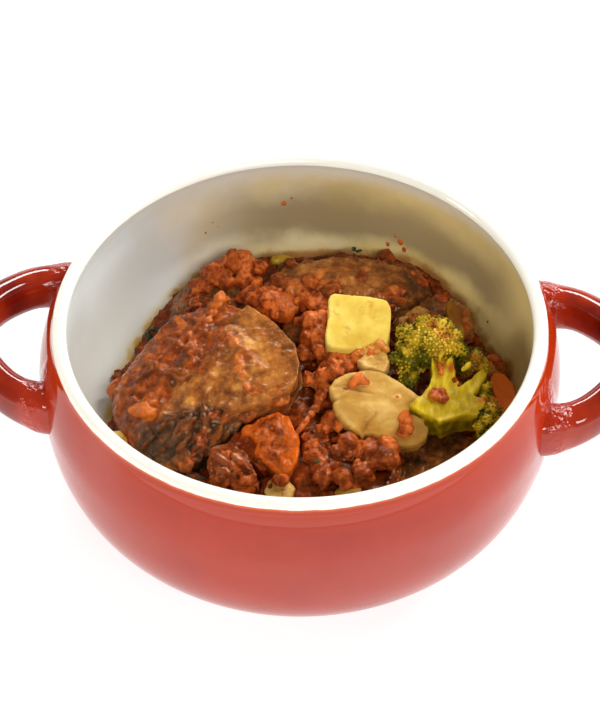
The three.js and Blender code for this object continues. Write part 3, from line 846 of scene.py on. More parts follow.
def coated(name, bare, coat_from=0.35, coat_to=0.65, thick=1.0, through=0.2):
    """A piece's own colours, given by the function `bare`, under a broken coat of sauce."""
    finish = food(name, srgb(120, 80, 50), 0.4, through)
    broken = finish.span(finish.grain(1.8, 4, 0.6, twist=0.5), 0.25, 0.75, -0.3, 0.3)
    share = finish.span(finish.plus(finish.layer("coat"), broken), coat_from, coat_to, 0, thick)
    finish.set("Base Color", finish.mix(share, bare(finish), sauce_colour(finish)))
    return finish


def sauce_finish():
    finish = food("chunky_sauce", srgb(140, 50, 25), 0.35, 0.3, glow=(1.0, 0.35, 0.12))
    finish.set("Base Color", sauce_colour(finish))
    wet(finish, shine=0.36)
    return finish.material


def venison_colour(finish):
    """Brown meat, nearly black at its crust, with a fine grain."""
    grain = finish.grain(0.9, 5, 0.7, stretch=(0.6, 0.6, 1.2))
    broad = finish.grain(7, 3, 0.55, seed=3)
    tone = finish.plus(finish.layer("tone"), finish.span(broad, 0.3, 0.7, -0.2, 0.2))
    mixed = finish.plus(tone, finish.span(grain, 0.3, 0.7, -0.16, 0.16))
    return finish.ramp(finish.span(mixed, -1, 1), (0.05, 38, 24, 14), (0.3, 82, 48, 25), (0.5, 134, 76, 34),
                       (0.72, 176, 106, 46), (0.95, 214, 154, 72))


def venison_finish():
    finish = coated("venison", venison_colour, 0.35, 0.85, 0.85, through=0.1)
    wet(finish, depth=0.13)
    return finish.material


def vegetable_finish(name, grain, tone_share, stops, coat, wrinkles, through=0.2):
    """Soft flesh coloured by its grain and its tone: `coat` and `wrinkles` go to coated and wet."""
    def flesh(finish):
        return finish.ramp(finish.toned(finish.grain(**grain), tone_share), *stops)
    finish = coated(name, flesh, *coat, through=through)
    wet(finish, *wrinkles)
    return finish.material


def tomato_finish():
    return vegetable_finish("tomato", dict(size=2.4, detail=4, rough=0.6, twist=0.6), 0.4,
                            ((0.15, 112, 38, 8), (0.45, 164, 70, 20), (0.85, 200, 104, 34)),
                            (1.6, 2.0), (0.6, 0.2))


def carrot_finish():
    return vegetable_finish("carrot", dict(size=1.6, detail=5, rough=0.65), 0.4,
                            ((0.15, 116, 38, 6), (0.45, 178, 74, 12), (0.85, 226, 108, 26)),
                            (0.6, 1.0), (0.6, 0.25))


def onion_finish():
    return vegetable_finish("onion", dict(size=2.5, detail=4, rough=0.6, twist=0.5), 0.4,
                            ((0.2, 62, 22, 7), (0.5, 108, 44, 14), (0.9, 176, 84, 32)),
                            (0.6, 1.1), (0.8, 0.15, 0.8))


def green_bit_finish():
    return vegetable_finish("green_bit", dict(size=3, rough=0.5, stretch=(1.5, 0.5, 1)), 0.5,
                            ((0.2, 136, 80, 8), (0.55, 172, 136, 32), (0.9, 204, 178, 76)),
                            (0.8, 1.2), (0.8, 0.1), through=0.3)


def potato_finish():
    finish = food("potato", srgb(228, 196, 100), 0.36, 0.3, 0.002, (1.0, 0.7, 0.25))
    finish.set("Specular IOR Level", 0.3)
    flesh = finish.ramp(finish.toned(finish.grain(5, 4, 0.55), 0.4), (0.2, 210, 162, 54),
                        (0.5, 230, 198, 84), (0.85, 244, 222, 124))
    flesh = stained(finish, flesh, (2.2, 4, 0.6), 0.72, 1.05, (196, 112, 36), 0.9)
    dots = finish.span(finish.grain(2.6, 2, 0.5, seed=4), 0.27, 0.22, 0, 0.8)
    finish.set("Base Color", finish.mix(dots, flesh, srgb(180, 116, 34)))
    finish.bump(finish.grain(0.7, 4, 0.6), 0.1, 0.6)
    return finish.material


def mushroom_colour(finish):
    streak = finish.grain(3.2, 4, 0.6, twist=0.8, stretch=(0.7, 1.2, 1))
    blotch = finish.grain(7, 3, 0.5, seed=6)
    mixed = finish.toned(finish.times(finish.plus(streak, blotch), 0.5), 0.6)
    return finish.ramp(mixed, (0.05, 112, 62, 20), (0.34, 174, 122, 50), (0.56, 198, 150, 72),
                       (0.8, 230, 192, 114))


def mushroom_finish():
    finish = coated("mushroom", mushroom_colour, 0.75, 1.1)
    finish.oily(0.35)
    finish.set("Roughness", finish.span(finish.grain(1.4, 3), 0.35, 0.65, 0.08, 0.32))
    finish.bump(finish.grain(0.6, 4, 0.6), 0.12, 0.7)
    finish.bump(finish.grain(2.2, 3, 0.6, stretch=(0.6, 1.3, 1)), 0.16, 0.6)
    return finish.material


def stalk_finish():
    stalk = food("broccoli_stalk", srgb(190, 170, 60), 0.32, 0.25, 0.002, (0.9, 0.9, 0.2))
    stalk.oily(0.25)
    flesh = stalk.ramp(stalk.toned(stalk.grain(2.4, 4, 0.6, stretch=(1.3, 0.5, 1)), 0.5), (0.1, 92, 74, 2),
                       (0.42, 162, 132, 8), (0.85, 222, 192, 42))
    stalk.set("Base Color", stained(stalk, flesh, (1.8, 4, 0.6), 0.7, 1.1, (186, 104, 24)))
    stalk.bump(stalk.grain(0.9, 4, 0.6, stretch=(1.4, 0.5, 1)), 0.15, 0.6)
    return stalk.material


def bud_finish():
    buds = food("broccoli_buds", srgb(140, 122, 30), 0.35, 0.15, 0.001, (0.9, 0.9, 0.2))
    buds.oily(0.35)
    green = buds.ramp(buds.span(buds.layer("tone"), -1, 1), (0.0, 50, 52, 6), (0.32, 112, 104, 12),
                      (0.62, 192, 156, 26), (1.0, 250, 210, 84))
    buds.set("Base Color", stained(buds, green, (2.5, 3, 0.6), 0.75, 1.15, (178, 98, 34)))
    return buds.material


def herb_finish():
    finish = Finish("herb", srgb(60, 80, 30), 0.35, IOR=1.4)
    green = finish.ramp(finish.grain(0.8, 2), (0.35, 14, 30, 22), (0.6, 50, 64, 20), (0.8, 150, 146, 44))
    finish.set("Base Color", green)
    return finish.material


# ---- Places in plan, and relief

def left_of(x, y, start, end):
    """Distance to the left of the line from start to end."""
    along = Vector(end) - Vector(start)
    away = Vector((x, y)) - Vector(start)
    return (along.x * away.y - along.y * away.x) / along.length


def spots(x, y, places):
    """From 0 to 1: how near x, y is to one of the places, each given with its radius."""
    return max(math.exp(-((x - a) ** 2 + (y - b) ** 2) / r ** 2) for a, b, r in places)


def near_line(x, y, points):
    """Distance from x, y to a line through points."""
    here = Vector((x, y))
    least = FAR
    for start, end in zip(points, points[1:]):
        start, along = Vector(start), Vector(end) - Vector(start)
        share = min(1, max(0, (here - start).dot(along) / along.length_squared))
        least = min(least, (here - start - share * along).length)
    return least


def groove(x, y, lines, width):
    """From 0 to 1: how near x, y is to one of the lines."""
    return math.exp(-min(near_line(x, y, line) for line in lines) ** 2 / width)


def inside(x, y, outline):
    """Whether x, y lies inside an outline in plan."""
    odd = False
    for (ax, ay), (bx, by) in zip(outline, outline[1:] + outline[:1]):
        if (ay > y) != (by > y) and x < ax + (bx - ax) * (y - ay) / (by - ay):
            odd = not odd
    return odd


def rough_relief(bare=0.25, sauce=0.5, wave=2.2, fine=0.9):
    """Relief that is deeper, and rounder, where sauce coats the piece."""
    def relief(place, coat):
        cover = min(1, max(0, coat))
        plain = ripples(place, wave, 2.0, 2) + 0.5 * ripples(place, fine, 5.0, 2)
        soft = (ripples(place, 1.5 * wave, 4.0) + 0.5 * ripples(place, 0.7 * wave, 7.0)
                + 0.5 * ripples(place, fine, 9.0, 2))
        return (1 - cover) * bare * plain + cover * sauce * soft
    return relief


def streaks(x, y, z, size, seed):
    """Wrinkles that run to the front left, the way sauce slides down the big slab."""
    along, across = 0.64 * x + 0.77 * y, 0.77 * x - 0.64 * y
    return ripples((along / 3, across, z / 2), size, seed, 2)


# ---- Meat

SLAB_TOP = (
    (-17.2, 22.6), (-9.6, 16.2), (-4.8, 10.5), (-1.6, 5.6), (-0.2, 0.2), (-0.4, -5), (-2.6, -9.4),
    (-8, -12.7), (-13, -14.2), (-18, -15.3), (-28, -11.9), (-36, -5), (-36, 5), (-31, 12), (-23, 18),
)
COAT_LINE = ((-42, -14), (-17.5, 26))
FLECKS = (
    (-24.7, -1, 1.6), (-38.4, 3, 1.2), (-27, -6, 1.0), (-31, -10.5, 1.5), (-14.5, 7, 2.2),
    (-11, 1.5, 2.6), (-18, -8, 1.3), (-33, 0, 1.0), (-21, 4, 1.1), (-16.5, 8.5, 1.8),
)
SLAB_FOLDS = (
    ((-22, 3), (-25, -6), (-30, -13)), ((-30, 3), (-34, -5), (-37, -12)), ((-15, -4), (-21, -11)),
    ((-27, 10), (-31, 1), (-39, -7)), ((-35, 12), (-41, 2), (-45, -4)),
)
SLAB_COAT = ((-55, -2), (-43, -11), (-34, 2), (-25, 12), (-19, 25), (-26, 31), (-44, 22), (-57, 9))
# Fields of lumps on the big slab: outline in plan, how many, their sizes and how they lie.
SLAB_FIELDS = (
    (SLAB_COAT, 34, (2.0, 5.0),
     dict(turn=52, spread=12, long=(1.6, 3.2), flat=(0.2, 0.32), tones=(-0.3, 0.1), sink=(0.45, 0.62),
          coat=0.75)),
    (SLAB_COAT, 26, (0.9, 2.2),
     dict(turn=52, spread=40, long=(1.1, 1.8), flat=(0.4, 0.6), tones=(-0.2, 0.4), sink=(0.35, 0.55),
          coat=0.85, knobs=0.6)),
    (((-48, -12), (-40, -12), (-30, -4), (-17, 4), (-14, 14), (-22, 20), (-36, 8)), 18, (0.7, 1.9),
     dict(turn=50, long=(1.0, 1.8), flat=(0.3, 0.5), tones=(-0.3, 0.2), sink=(0.5, 0.68), coat=0.6)),
    (((-47, -13), (-20, -13), (-16, -16), (-30, -30), (-44, -24)), 20, (1.8, 5.0),
     dict(turn=62, spread=12, long=(2.2, 4), flat=(0.35, 0.5), tones=(-0.7, -0.3), sink=(0.45, 0.62),
          coat=0.5, knobs=0.6)),
    (((-47, -14), (-20, -14), (-16, -17), (-30, -30), (-44, -24)), 40, (0.6, 1.5),
     dict(turn=62, spread=60, long=(1, 1.8), flat=(0.5, 0.8), tones=(-0.8, 0), sink=(0.4, 0.6),
          coat=0.5, knobs=0.6)),
    (((-18, -15.5), (-8, -13), (-2.6, -9.6), (-1.5, -5), (-3, -6), (-8, -10.4), (-18, -12.6)), 18,
     (0.7, 2.0),
     dict(turn=20, spread=50, flat=(0.5, 0.8), tones=(-0.4, 0.5), sink=(0.35, 0.6), coat=0.95, knobs=0.6)),
)
# Lumps that stand out on a slab: x, y, half lengths, turn and tone.
SLAB_LUMPS = (
    (-19.7, 7.3, 1.9, 1.7, 1.4, 0, 0.7), (-21.4, 10.0, 1.4, 1.2, 0.9, 30, 0.4),
    (-17.4, 4.6, 1.7, 1.3, 1.1, 50, 0.6), (-18.2, 1.6, 1.6, 1.2, 1.1, -60, 0.7),
    (-17.8, -1.4, 1.8, 1.1, 1.1, -70, 0.8), (-16.6, -4.4, 1.6, 1.2, 1.0, -50, 0.7),
    (-14.6, 2.2, 1.3, 0.9, 0.7, 10, 0.5), (-15.2, -8.2, 1.5, 1.2, 0.9, 20, 0.4),
    (-16.1, -11.2, 1.8, 1.5, 1.2, 20, 0.5), (-9.8, -11.4, 2.3, 1.8, 1.6, 20, 0.2),
    (-4.6, -10.5, 2.2, 1.7, 1.5, -10, 0.4), (-13.6, -13.4, 2.0, 1.5, 1.3, 10, 0.5),
    (-20.4, -15.1, 2.4, 1.4, 1.0, 60, 0.1), (-24.1, -14.8, 2.2, 1.3, 0.8, 50, -0.2),
    (-27.6, -21.2, 4.4, 1.6, 0.8, 60, -0.3), (-31.3, -26.9, 2.2, 1.8, 1.0, 50, 0.1),
    (-37.6, 19.9, 4.8, 1.5, 1.0, 50, 0.2), (-30.5, 15.5, 3.2, 1.8, 0.9, 50, 0.0),
    (-7.2, -9.0, 1.8, 1.2, 0.8, 30, 0.4), (-12.6, -9.4, 1.6, 1.3, 0.8, 60, 0.4),
    (-12.4, -1.0, 1.2, 0.8, 0.4, -40, 0.3),
)
BACK_FIELDS = (
    (((-12, 40), (4, 37), (28, 36), (38, 44), (30, 55), (10, 59), (-6, 54)), 16, (0.6, 1.6),
     dict(flat=(0.35, 0.6), tones=(-0.4, 0.4), sink=(0.35, 0.6))),
    (((-12, 41), (0, 37), (8, 39), (0, 44), (-10, 46)), 18, (1.6, 3.6), dict(tones=(-0.1, 0.5))),
    (((18, 36), (29, 37), (31, 42), (22, 43)), 12, (1.6, 3.2), dict(tones=(-0.1, 0.4))),
    (((-8, 53), (10, 57), (30, 54), (36, 56), (10, 62), (-8, 60)), 26, (1.0, 2.8),
     dict(tones=(-0.6, 0), sink=(0.3, 0.6))),
)
BACK_LUMPS = (
    (3, 46.5, 2.6, 1.6, 0.9, 10, 0.9), (9.7, 43.4, 1.7, 1.3, 1.0, 0, 0.6), (18, 50, 1.6, 1.0, 0.7, 40, 0.8),
)


def make_venison_left(finish):
    """The big slab: flat and bare at its right end, sauce down its left side, a dark wet front edge."""
    heap = Heap(5)
    heap.core("venison_left")
    heap.plate(SLAB_TOP, lambda x, y: 41 + 0.13 * x + 0.14 * y - 0.14 * max(0, -13 - x), 5)
    heap.strew(SLAB_FIELDS)
    heap.lay_each(SLAB_LUMPS, sink=0.45, knobs=0.55)

    def relief(place, coat):
        x, y, z = place
        rough = 1 - 0.75 * smoothstep(-20, -12, x + 0.4 * y)
        return (rough * (0.6 * streaks(x, y, z, 2.8, 2) + 0.25 * ripples(place, 1.5, 5, 2))
                + 0.12 * ripples(place, 1.5, 3, 2) - 0.7 * groove(x, y, SLAB_FOLDS, 1.6))

    def paint(x, y, z):
        wave = ripples((x, y, z), 6, 3, 2)
        cover = smoothstep(-4, 4, left_of(x, y, *COAT_LINE) + 4 * wave)
        smear = 0.7 * spots(x, y, ((-18, 1, 3.6), (-21, 9, 4), (-12, -9, 4), (-6, -10, 4), (-29, -17, 3)))
        edge = smoothstep(-10.5, -15.5, y + 2.2 * wave) * smoothstep(-12, -18, x + wave)
        edge = max(edge, 0.8 * smoothstep(3.5, -1.5, z - 27) * smoothstep(0, -8, y))
        end = smoothstep(-24, -12, x + 0.25 * y)
        # Painted highlight: the front of the bare right end is toned lighter.
        low = smoothstep(12, 4, y) * end
        rim = max(smoothstep(-6, -1, x + 0.3 * abs(y)), smoothstep(-8.5, -12.5, y + 1.5 * wave) * end)
        tone = (0.12 - 0.38 * edge - 0.06 * end + 0.14 * low - 0.3 * rim
                + (0.3 - 0.26 * end) * streaks(x, y, z, 2.2, 9)
                + 0.15 * spots(x, y, ((-15, 19, 5), (-14, -11, 5))))
        patchy = 0.42 + 0.35 * wave
        fleck = spots(x + 0.9 * ripples((x, y, z), 1.6, 8), y + 0.9 * ripples((x, y, z), 1.6, 12), FLECKS)
        coat = max(patchy * (1 - 0.9 * end), smear) * (1 - 0.6 * edge) + 0.8 * cover
        return coat * (1 - fleck), tone + 0.55 * fleck

    made = heap.skin("venison_slab_left", 0.38, 12, relief, paint)
    place_piece(made, finish, "venison", "venison_left")


def make_venison_back(finish):
    """The slab at the back, wrinkled and brown, with sauce lumps scattered on it."""
    heap = Heap(7)
    heap.core("venison_back")
    heap.strew(BACK_FIELDS)
    heap.lay_each(BACK_LUMPS, sink=0.3)

    def paint(x, y, z):
        wave = ripples((x, y, z), 5, 13, 2)
        cover = smoothstep(0.1, 0.8, wave)
        # Painted shade: darker where the slab's right end turns down, and along its back against the wall.
        dark = smoothstep(18, 34, x + 3 * wave) + smoothstep(57, 61, y)
        return 0.2 + 0.35 * cover, 0.2 - 0.5 * min(1, dark) + 0.25 * ripples((x, 2 * y, z), 3, 4, 2)

    made = heap.skin("venison_slab_back", 0.4, 10, rough_relief(0.6, 0.5, 2.6, 1.1), paint)
    place_piece(made, finish, "venison", "venison_back")


# ---- Sauce

# Each tomato blob's lumps, laid one after another: x, y and half length.
TOMATO_BLOBS = {
    "tomato_on_meat": (
        (-24.2, 29.6, 2.9), (-25.6, 26.6, 2.3), (-26.6, 23.8, 1.7), (-27.6, 21, 1.4), (-28.6, 18.4, 1.2),
    ),
    "tomato_left": ((-46.9, -11.1, 2.4), (-44.8, -11.8, 2.7), (-42.8, -12.3, 2.1)),
}
# Lumps that stand out, by the heap they belong to: x, y, z, half length and tone.
NAMED_LUMPS = {
    "sauce_lumps_back_left": (
        (-27.4, 49.8, 29.6, 3.4, 0.1), (-31.1, 48, 28.4, 3.2, 0.1), (-33.8, 43, 27.6, 3, 0),
        (-36.6, 38.7, 25.6, 2.8, 0.1), (-16, 49.5, 31, 3, 0.2), (-20.3, 44.6, 30, 3.4, 0.3),
        (-25.8, 43.4, 30, 3, 0), (-13.5, 35.3, 33.2, 3.4, 0.5), (-10.9, 32.8, 33.6, 3, 0.6),
        (-17.3, 36.6, 32.6, 2.8, 0.3), (-9, 29, 32.4, 2.6, 0.4), (-35.2, 43.6, 27, 2.8, 0),
        (-37, 39.6, 25, 2.4, 0.1), (-38.6, 35.6, 24.6, 2.2, 0),
    ),
    "sauce_lumps_middle": (
        (-0.2, 34.6, 31.6, 3.6, 0.5), (3.4, 33.4, 31.8, 3.4, 0.4), (6, 31, 31, 3, 0.2),
        (5, 25.4, 32.4, 3.6, 0.5), (2, 22.6, 31.4, 3.2, 0.7), (4.7, 17.9, 32, 3.6, 0.8),
        (5.2, 13.4, 31.4, 3, 0.7), (8.8, 10.2, 31.8, 2.6, 0.5), (12.6, 8.8, 32.8, 2.8, 0.5),
        (16.6, 9.4, 34.4, 2.6, 0.6), (20.4, 10.2, 35, 2.4, 0.7), (23.6, 11.6, 35.2, 2.2, 0.4),
        (9.7, 6.2, 31.8, 3, 0.6), (13.2, 6.4, 32.4, 3, 0.5), (6.6, 3.8, 31.2, 2.8, 0.6),
        (10.4, 3.4, 33, 2.8, 0.5), (0.9, 14.5, 30, 2.6, 0.3), (2.6, 3.3, 30, 2.2, 0.6),
        (6.2, -2, 29, 1.8, 0.6), (4.9, -6.6, 28.2, 1.7, 0.5), (2.4, -11.4, 27.8, 1.5, 0.4),
        (0.4, -14.6, 27.2, 1.2, 0.3), (5.6, -4.2, 28.7, 1.6, 0.5), (3.7, -8.9, 28, 1.5, 0.5),
        (1.4, -13, 27.5, 1.3, 0.4), (7.4, 0.6, 30, 2.2, 0.6),
    ),
    "sauce_lumps_front": (
        (9.7, -11.4, 29.6, 2.6, 0.3), (11.4, -13.6, 29.4, 2.2, 0.4), (7.6, -14.6, 28.4, 2.2, 0.1),
        (26.4, -20.4, 29.4, 3.6, 0.5), (22.2, -19.8, 28.8, 2.6, 0.3), (23.2, -24.4, 29, 3.4, 0.1),
        (27, -25, 28, 2.8, 0), (19.1, -28.9, 27.4, 3.4, -0.1), (13.5, -30.6, 27, 3, 0.1),
        (5.2, -24.2, 26.6, 3, 0.1), (4.4, -19.6, 26.4, 2.6, 0.2), (15, -33, 26, 2.2, 0.3),
        (8, -30.5, 26.2, 3, 0), (14.4, -18.6, 27.6, 2.6, -0.5), (17.6, -20.6, 27.8, 2.8, -0.6),
        (12, -22, 26.8, 2.6, -0.6), (3, -16.4, 26.8, 1.8, 0.3), (-3.4, -32.6, 26.4, 2.4, 0.4),
    ),
    "sauce_lumps_left_end": (
        (-57.4, 15.4, 13.6, 2.2, -0.2), (-58, 18.4, 13.2, 1.5, -0.3),
    ),
    "sauce_lumps_right": (
        (24.2, 61, 26.8, 2.6, -0.3), (59, 20.6, 21.6, 3, 0), (56.4, 24, 19.6, 2.6, -0.3),
    ),
}
# Fields of smaller lumps, by the heap they belong to.
SAUCE_FIELDS = {
    "sauce_lumps_back_left": (
        (((-35, 40), (-33, 48), (-29, 50), (-27, 45), (-18, 44), (-15, 52), (-12, 53), (-9, 46), (-2, 42),
          (-1, 32), (-8, 28), (-17, 34), (-24, 41), (-31, 37)), 36, (1.6, 3.8),
         dict(tones=(0.1, 0.8), sink=(0.3, 0.6))),
        (((-56, 12), (-44, 22), (-31, 33), (-31, 38), (-35, 38), (-48, 25), (-56, 14)), 46, (1.3, 3.4),
         dict(turn=52, spread=20, long=(1.4, 2.6), tones=(-0.4, 0.1), sink=(0.4, 0.7))),
        (((-27, 47), (-22, 46), (-17, 47), (-17, 53), (-22, 56), (-27, 53)), 16, (1.0, 2.2),
         dict(flat=(0.35, 0.55), tones=(-0.1, 0.5), sink=(0.55, 0.75))),
        (((-36, 34), (-20, 33), (-18, 37), (-34, 41)), 8, (0.8, 2.0),
         dict(tones=(-0.3, 0.3), sink=(0.3, 0.6))),
    ),
    "sauce_lumps_left_end": (),
    "sauce_lumps_middle": (
        (((-3, 39), (7, 37), (7, 14), (13, 8), (10, 2), (7, -1), (1, 1), (1, 6), (-1, 20)), 46, (1.2, 3.6),
         dict(tones=(0.2, 0.9), sink=(0.1, 0.5))),
        (((25, 34), (29, 26), (28, 22), (25, 24), (24, 33)), 14, (0.8, 2.0), dict(tones=(-0.9, -0.4))),
    ),
    "sauce_lumps_front": (
        (((2, -14), (11, -13), (18, -18), (26, -20), (30, -26), (19, -33), (8, -35), (3, -31)), 44,
         (1.2, 3.4), dict(tones=(-0.5, 0.35), sink=(0.1, 0.5))),
        (((-22, -22), (-14, -24), (-5, -28), (-2, -33), (-9, -38), (-18, -37), (-28, -30), (-30, -25)), 16,
         (0.8, 2.0), dict(tones=(-0.9, 0), sink=(0.3, 0.6))),
        (((-25, -26), (-20, -24), (-15, -27), (-12, -33), (-20, -33), (-25, -30)), 18, (1.2, 2.8),
         dict(tones=(-0.6, 0.5), sink=(0.0, 0.3), flat=(0.4, 0.7))),
    ),
    "sauce_lumps_right": (
        (((33, 54), (41, 46), (46, 40), (51, 32), (55.5, 25), (53, 21), (50.5, 25), (49, 31), (45, 41),
          (40, 45), (33, 50)), 28, (1.0, 2.8),
         dict(tones=(-0.3, 0.5), turn=-45, spread=30, flat=(0.25, 0.45), sink=(0.45, 0.68))),
        (((54, 18), (60, 17), (60, 23), (53, 26)), 10, (0.8, 2.0), dict(tones=(-0.3, 0.5), sink=(0.3, 0.6))),
    ),
}
# Smears and specks of sauce on the bowl's wall: x, y, z, half length and tone.
WALL_SPOTS = (
    (-9.3, 70.4, 40, 1.1, 1.2), (-6.8, 70.7, 42, 0.6, 1.2), (28.7, 64.2, 30.8, 1.2, 0.7),
    (30.1, 63.3, 28.6, 1.0, 0.8), (27, 65, 32.6, 0.7, 1), (24.6, 65.4, 28.6, 0.9, 0.8),
    (56.8, 37.8, 22.7, 0.5, -1), (-43, 48.2, 17.4, 0.8, 0.3), (-31.7, 63.5, 36.8, 0.4, 1.2),
    (-30.2, 64, 34.6, 0.3, 1.2), (-33.9, 62, 33.6, 0.5, 1.2), (26, 65.5, 25.6, 0.8, 0.6),
)
# Diced tomato and sauce on the stalk: x, y, z, half lengths, turn and tone.
STALK_LUMPS = (
    (40.6, -7.2, 37.4, 2.4, 2.0, 1.4, 30, 0.4), (41.6, -8.6, 37.2, 1.6, 1.5, 1.2, 0, 0.2),
    (39.2, -6.2, 37.4, 1.2, 1.3, 1.0, 20, 0.6), (41.0, 3.4, 37.6, 0.9, 1.9, 1.1, 10, 0.4),
    (41.2, 1.2, 37.4, 0.8, 1.0, 0.8, 0, 0.5), (45.4, -0.6, 36.8, 0.8, 1.2, 0.7, -20, -0.4),
    (46.6, -2.2, 36.4, 0.7, 0.8, 0.6, 0, -0.5), (37.4, -3.4, 36.6, 0.4, 0.5, 0.4, 0, -0.5),
)


def make_tomato_blobs(finish):
    """A broad blob at the slab's upper left end, which runs down into a tail, and one low on its side."""
    for node, lumps in TOMATO_BLOBS.items():
        heap = Heap(6)
        for i, (x, y, half) in enumerate(lumps):
            heap.lay(x, y, (1.2 * half, 0.9 * half, 0.7 * half), 60 + 8 * i, sink=0.3, tone=0.5 - 0.08 * i,
                     knobs=0.4)
        made = heap.skin(node + "_piece", 0.32, 8, rough_relief(0.3, 0.3, 2, 0.9))
        place_piece(made, finish, "tomato", node)


def make_sauce(finish):
    """The bed under everything, and the chunky sauce heaped on it between and on the pieces."""
    heap = Heap(1)
    heap.core("sauce")
    made = heap.skin("sauce_bed", 0.8, 3, rough_relief(0.5, 0.7, 3, 1.2),
                     lambda x, y, z: (1, -0.5 + 0.4 * ripples((x, y, z), 6, 2)))
    place_piece(made, finish, "sauce", "sauce")
    for i, (name, fields) in enumerate(SAUCE_FIELDS.items()):
        heap = Heap(100 + i)
        for x, y, z, half, tone in NAMED_LUMPS[name]:
            wide, thick = heap.random.uniform(0.75, 1), heap.random.uniform(0.7, 0.95)
            heap.lump((x, y, z), (half, wide * half, thick * half), (0, 0, heap.random.uniform(0, 180)),
                      tone=tone, knobs=0.35, fineness=FINEST)
        heap.strew(fields)
        made = heap.skin(name, 0.36, 12, rough_relief(0.3, 0.45, 2.4, 0.9))
        place_piece(made, finish, "sauce")


def make_wall_spots(finish):
    """Thin smears and specks of sauce on the bowl's wall."""
    heap = Heap(97)
    for x, y, z, half, tone in WALL_SPOTS:
        out = inner_radius(z) / math.hypot(x, y)
        turn = math.degrees(math.atan2(y, x)) - 90
        heap.lump((out * x, out * y, z), (0.75 * half, 0.4, half), (0, 0, turn), tone=tone, knobs=0.5)
    place_piece(heap.skin("wall_spots", 0.22, 1, inset=0.12), finish, "sauce")


def make_stalk_lumps(finish):
    """Diced tomato and sauce lying on the broccoli's stalk."""
    heap = Heap(26)
    for x, y, z, long, wide, thick, turn, tone in STALK_LUMPS:
        heap.lump((x, y, z), (long, wide, thick), (0, 0, turn), tone=tone, knobs=0.6)
    place_piece(heap.skin("stalk_lumps", 0.3, 3, rough_relief(0.2, 0.25, 1.6, 0.8)), finish, "sauce")


# ---- Broccoli

STALK_OUTLINE = (
    (31.9, -11.6), (35.2, -7.6), (37.6, -4), (38.5, 0.5), (38.2, 8), (44.8, 8), (45.5, 0), (47.2, -2.6),
    (50.2, 1.4), (53.8, 5.6), (55.2, 3.4), (52.4, -2.2), (50.6, -5.2), (54, -6), (54.4, -10),
    (51.6, -12.4), (46.4, -13.8), (41, -16.8), (36.4, -14.4),
)
STALK_GROOVES = (
    ((36, -14), (41, -6), (41, 6)), ((40, -16), (46, -8), (52, 1)), ((44, -16), (54, -10)),
    ((38, -9), (40, 0), (39.4, 7)), ((43, -4), (44, 6)),
)
# Middle, half lengths and how many domes of buds.
BROCCOLI_HEADS = (
    ((38.2, 12.6, 36.2), (10.2, 8.8, 7.4), 36),
    ((32, 8.5, 34.4), (4.8, 5.2, 5), 14),
    ((50, 9.3, 33), (5.4, 5.4, 5), 16),
    ((53.6, -1, 31.5), (3.2, 4.4, 4.2), 12),
    ((54.4, -9.4, 31), (5.6, 6.6, 5.4), 20),
    ((32, 4.5, 30), (3.6, 3.6, 3.2), 8),
)
# Short stems under the heads: x, y, z, half length and turn.
STEMS = (
    (38.6, 8.2, 39.6, 2.6, 10), (41.2, 7.2, 39.4, 2.4, -20), (36.6, 10.4, 41, 1.8, 40),
    (43.4, 5.6, 37.6, 2.2, -40), (48.6, 4.6, 36.6, 2.2, -60), (52.4, -6.2, 34.4, 2.2, 80),
)
STALK_ROOT = (42, -6, 31)
# Domes that face the root, and buds that face down, are left out past these shares.
FACES_ROOT = -0.45
FACES_DOWN = -0.6
GOLDEN_TURN = 2.399963
BUD_SPACING = 0.86
NEXT_CELLS = [(i, j, k) for i in (-1, 0, 1) for j in (-1, 0, 1) for k in (-1, 0, 1)]
# Places where sauce has soaked in, and lighter and darker places among the buds: partly their own colour,
# partly painted highlight and painted shade.
STALK_STAINS = ((44.5, 4.5, 2.6), (41, 6, 2), (49, 2, 2), (53, -6, 2))
BUD_STAINS = ((42, 12, 4), (38, 16, 3), (51, 6, 4), (56, -7, 4), (41, 6, 2))
LIGHT_BUDS = ((36, 12, 4.5), (40.5, 8.5, 3.5), (51, 3, 2.5), (30, 5, 2))
DARK_BUDS = ((44, 17, 4.5), (49.5, 11, 4), (56, -9, 5), (30, 14, 4))


def make_stalk(finish):
    """A broad forked stalk, cut in half and laid flat."""
    heap = Heap(21)

    def level(x, y):
        return 36.6 + 0.06 * (y + 8) - 0.12 * (x - 42)

    heap.plate(STALK_OUTLINE, level, 7.5)
    for x, y, z, long, turn in STEMS:
        heap.lump((x, y, z), (0.4 * long, long, 0.4 * long), (35, 0, turn), coat=0.2, tone=0.3, knobs=0.3)

    def relief(place, coat):
        return (0.5 * ripples(place, 4, 1, 2) + 0.1 * ripples(place, 1, 2)
                - 0.6 * groove(place[0], place[1], STALK_GROOVES, 0.6))

    def paint(x, y, z):
        soaked = max(0.8 * spots(x, y, STALK_STAINS), 0.35 * spots(x, y, ((38, -7, 3),)))
        top = smoothstep(-2.5, -0.5, z - level(x, y))
        return (soaked, 0.3 * ripples((x, y, z), 4, 6) - 0.8 + 0.8 * top
                + 0.25 * groove(x, y, STALK_GROOVES, 0.8))

    made = heap.skin("broccoli_stalk", 0.4, 9, relief, paint)
    place_piece(made, finish, "broccoli", "broccoli")


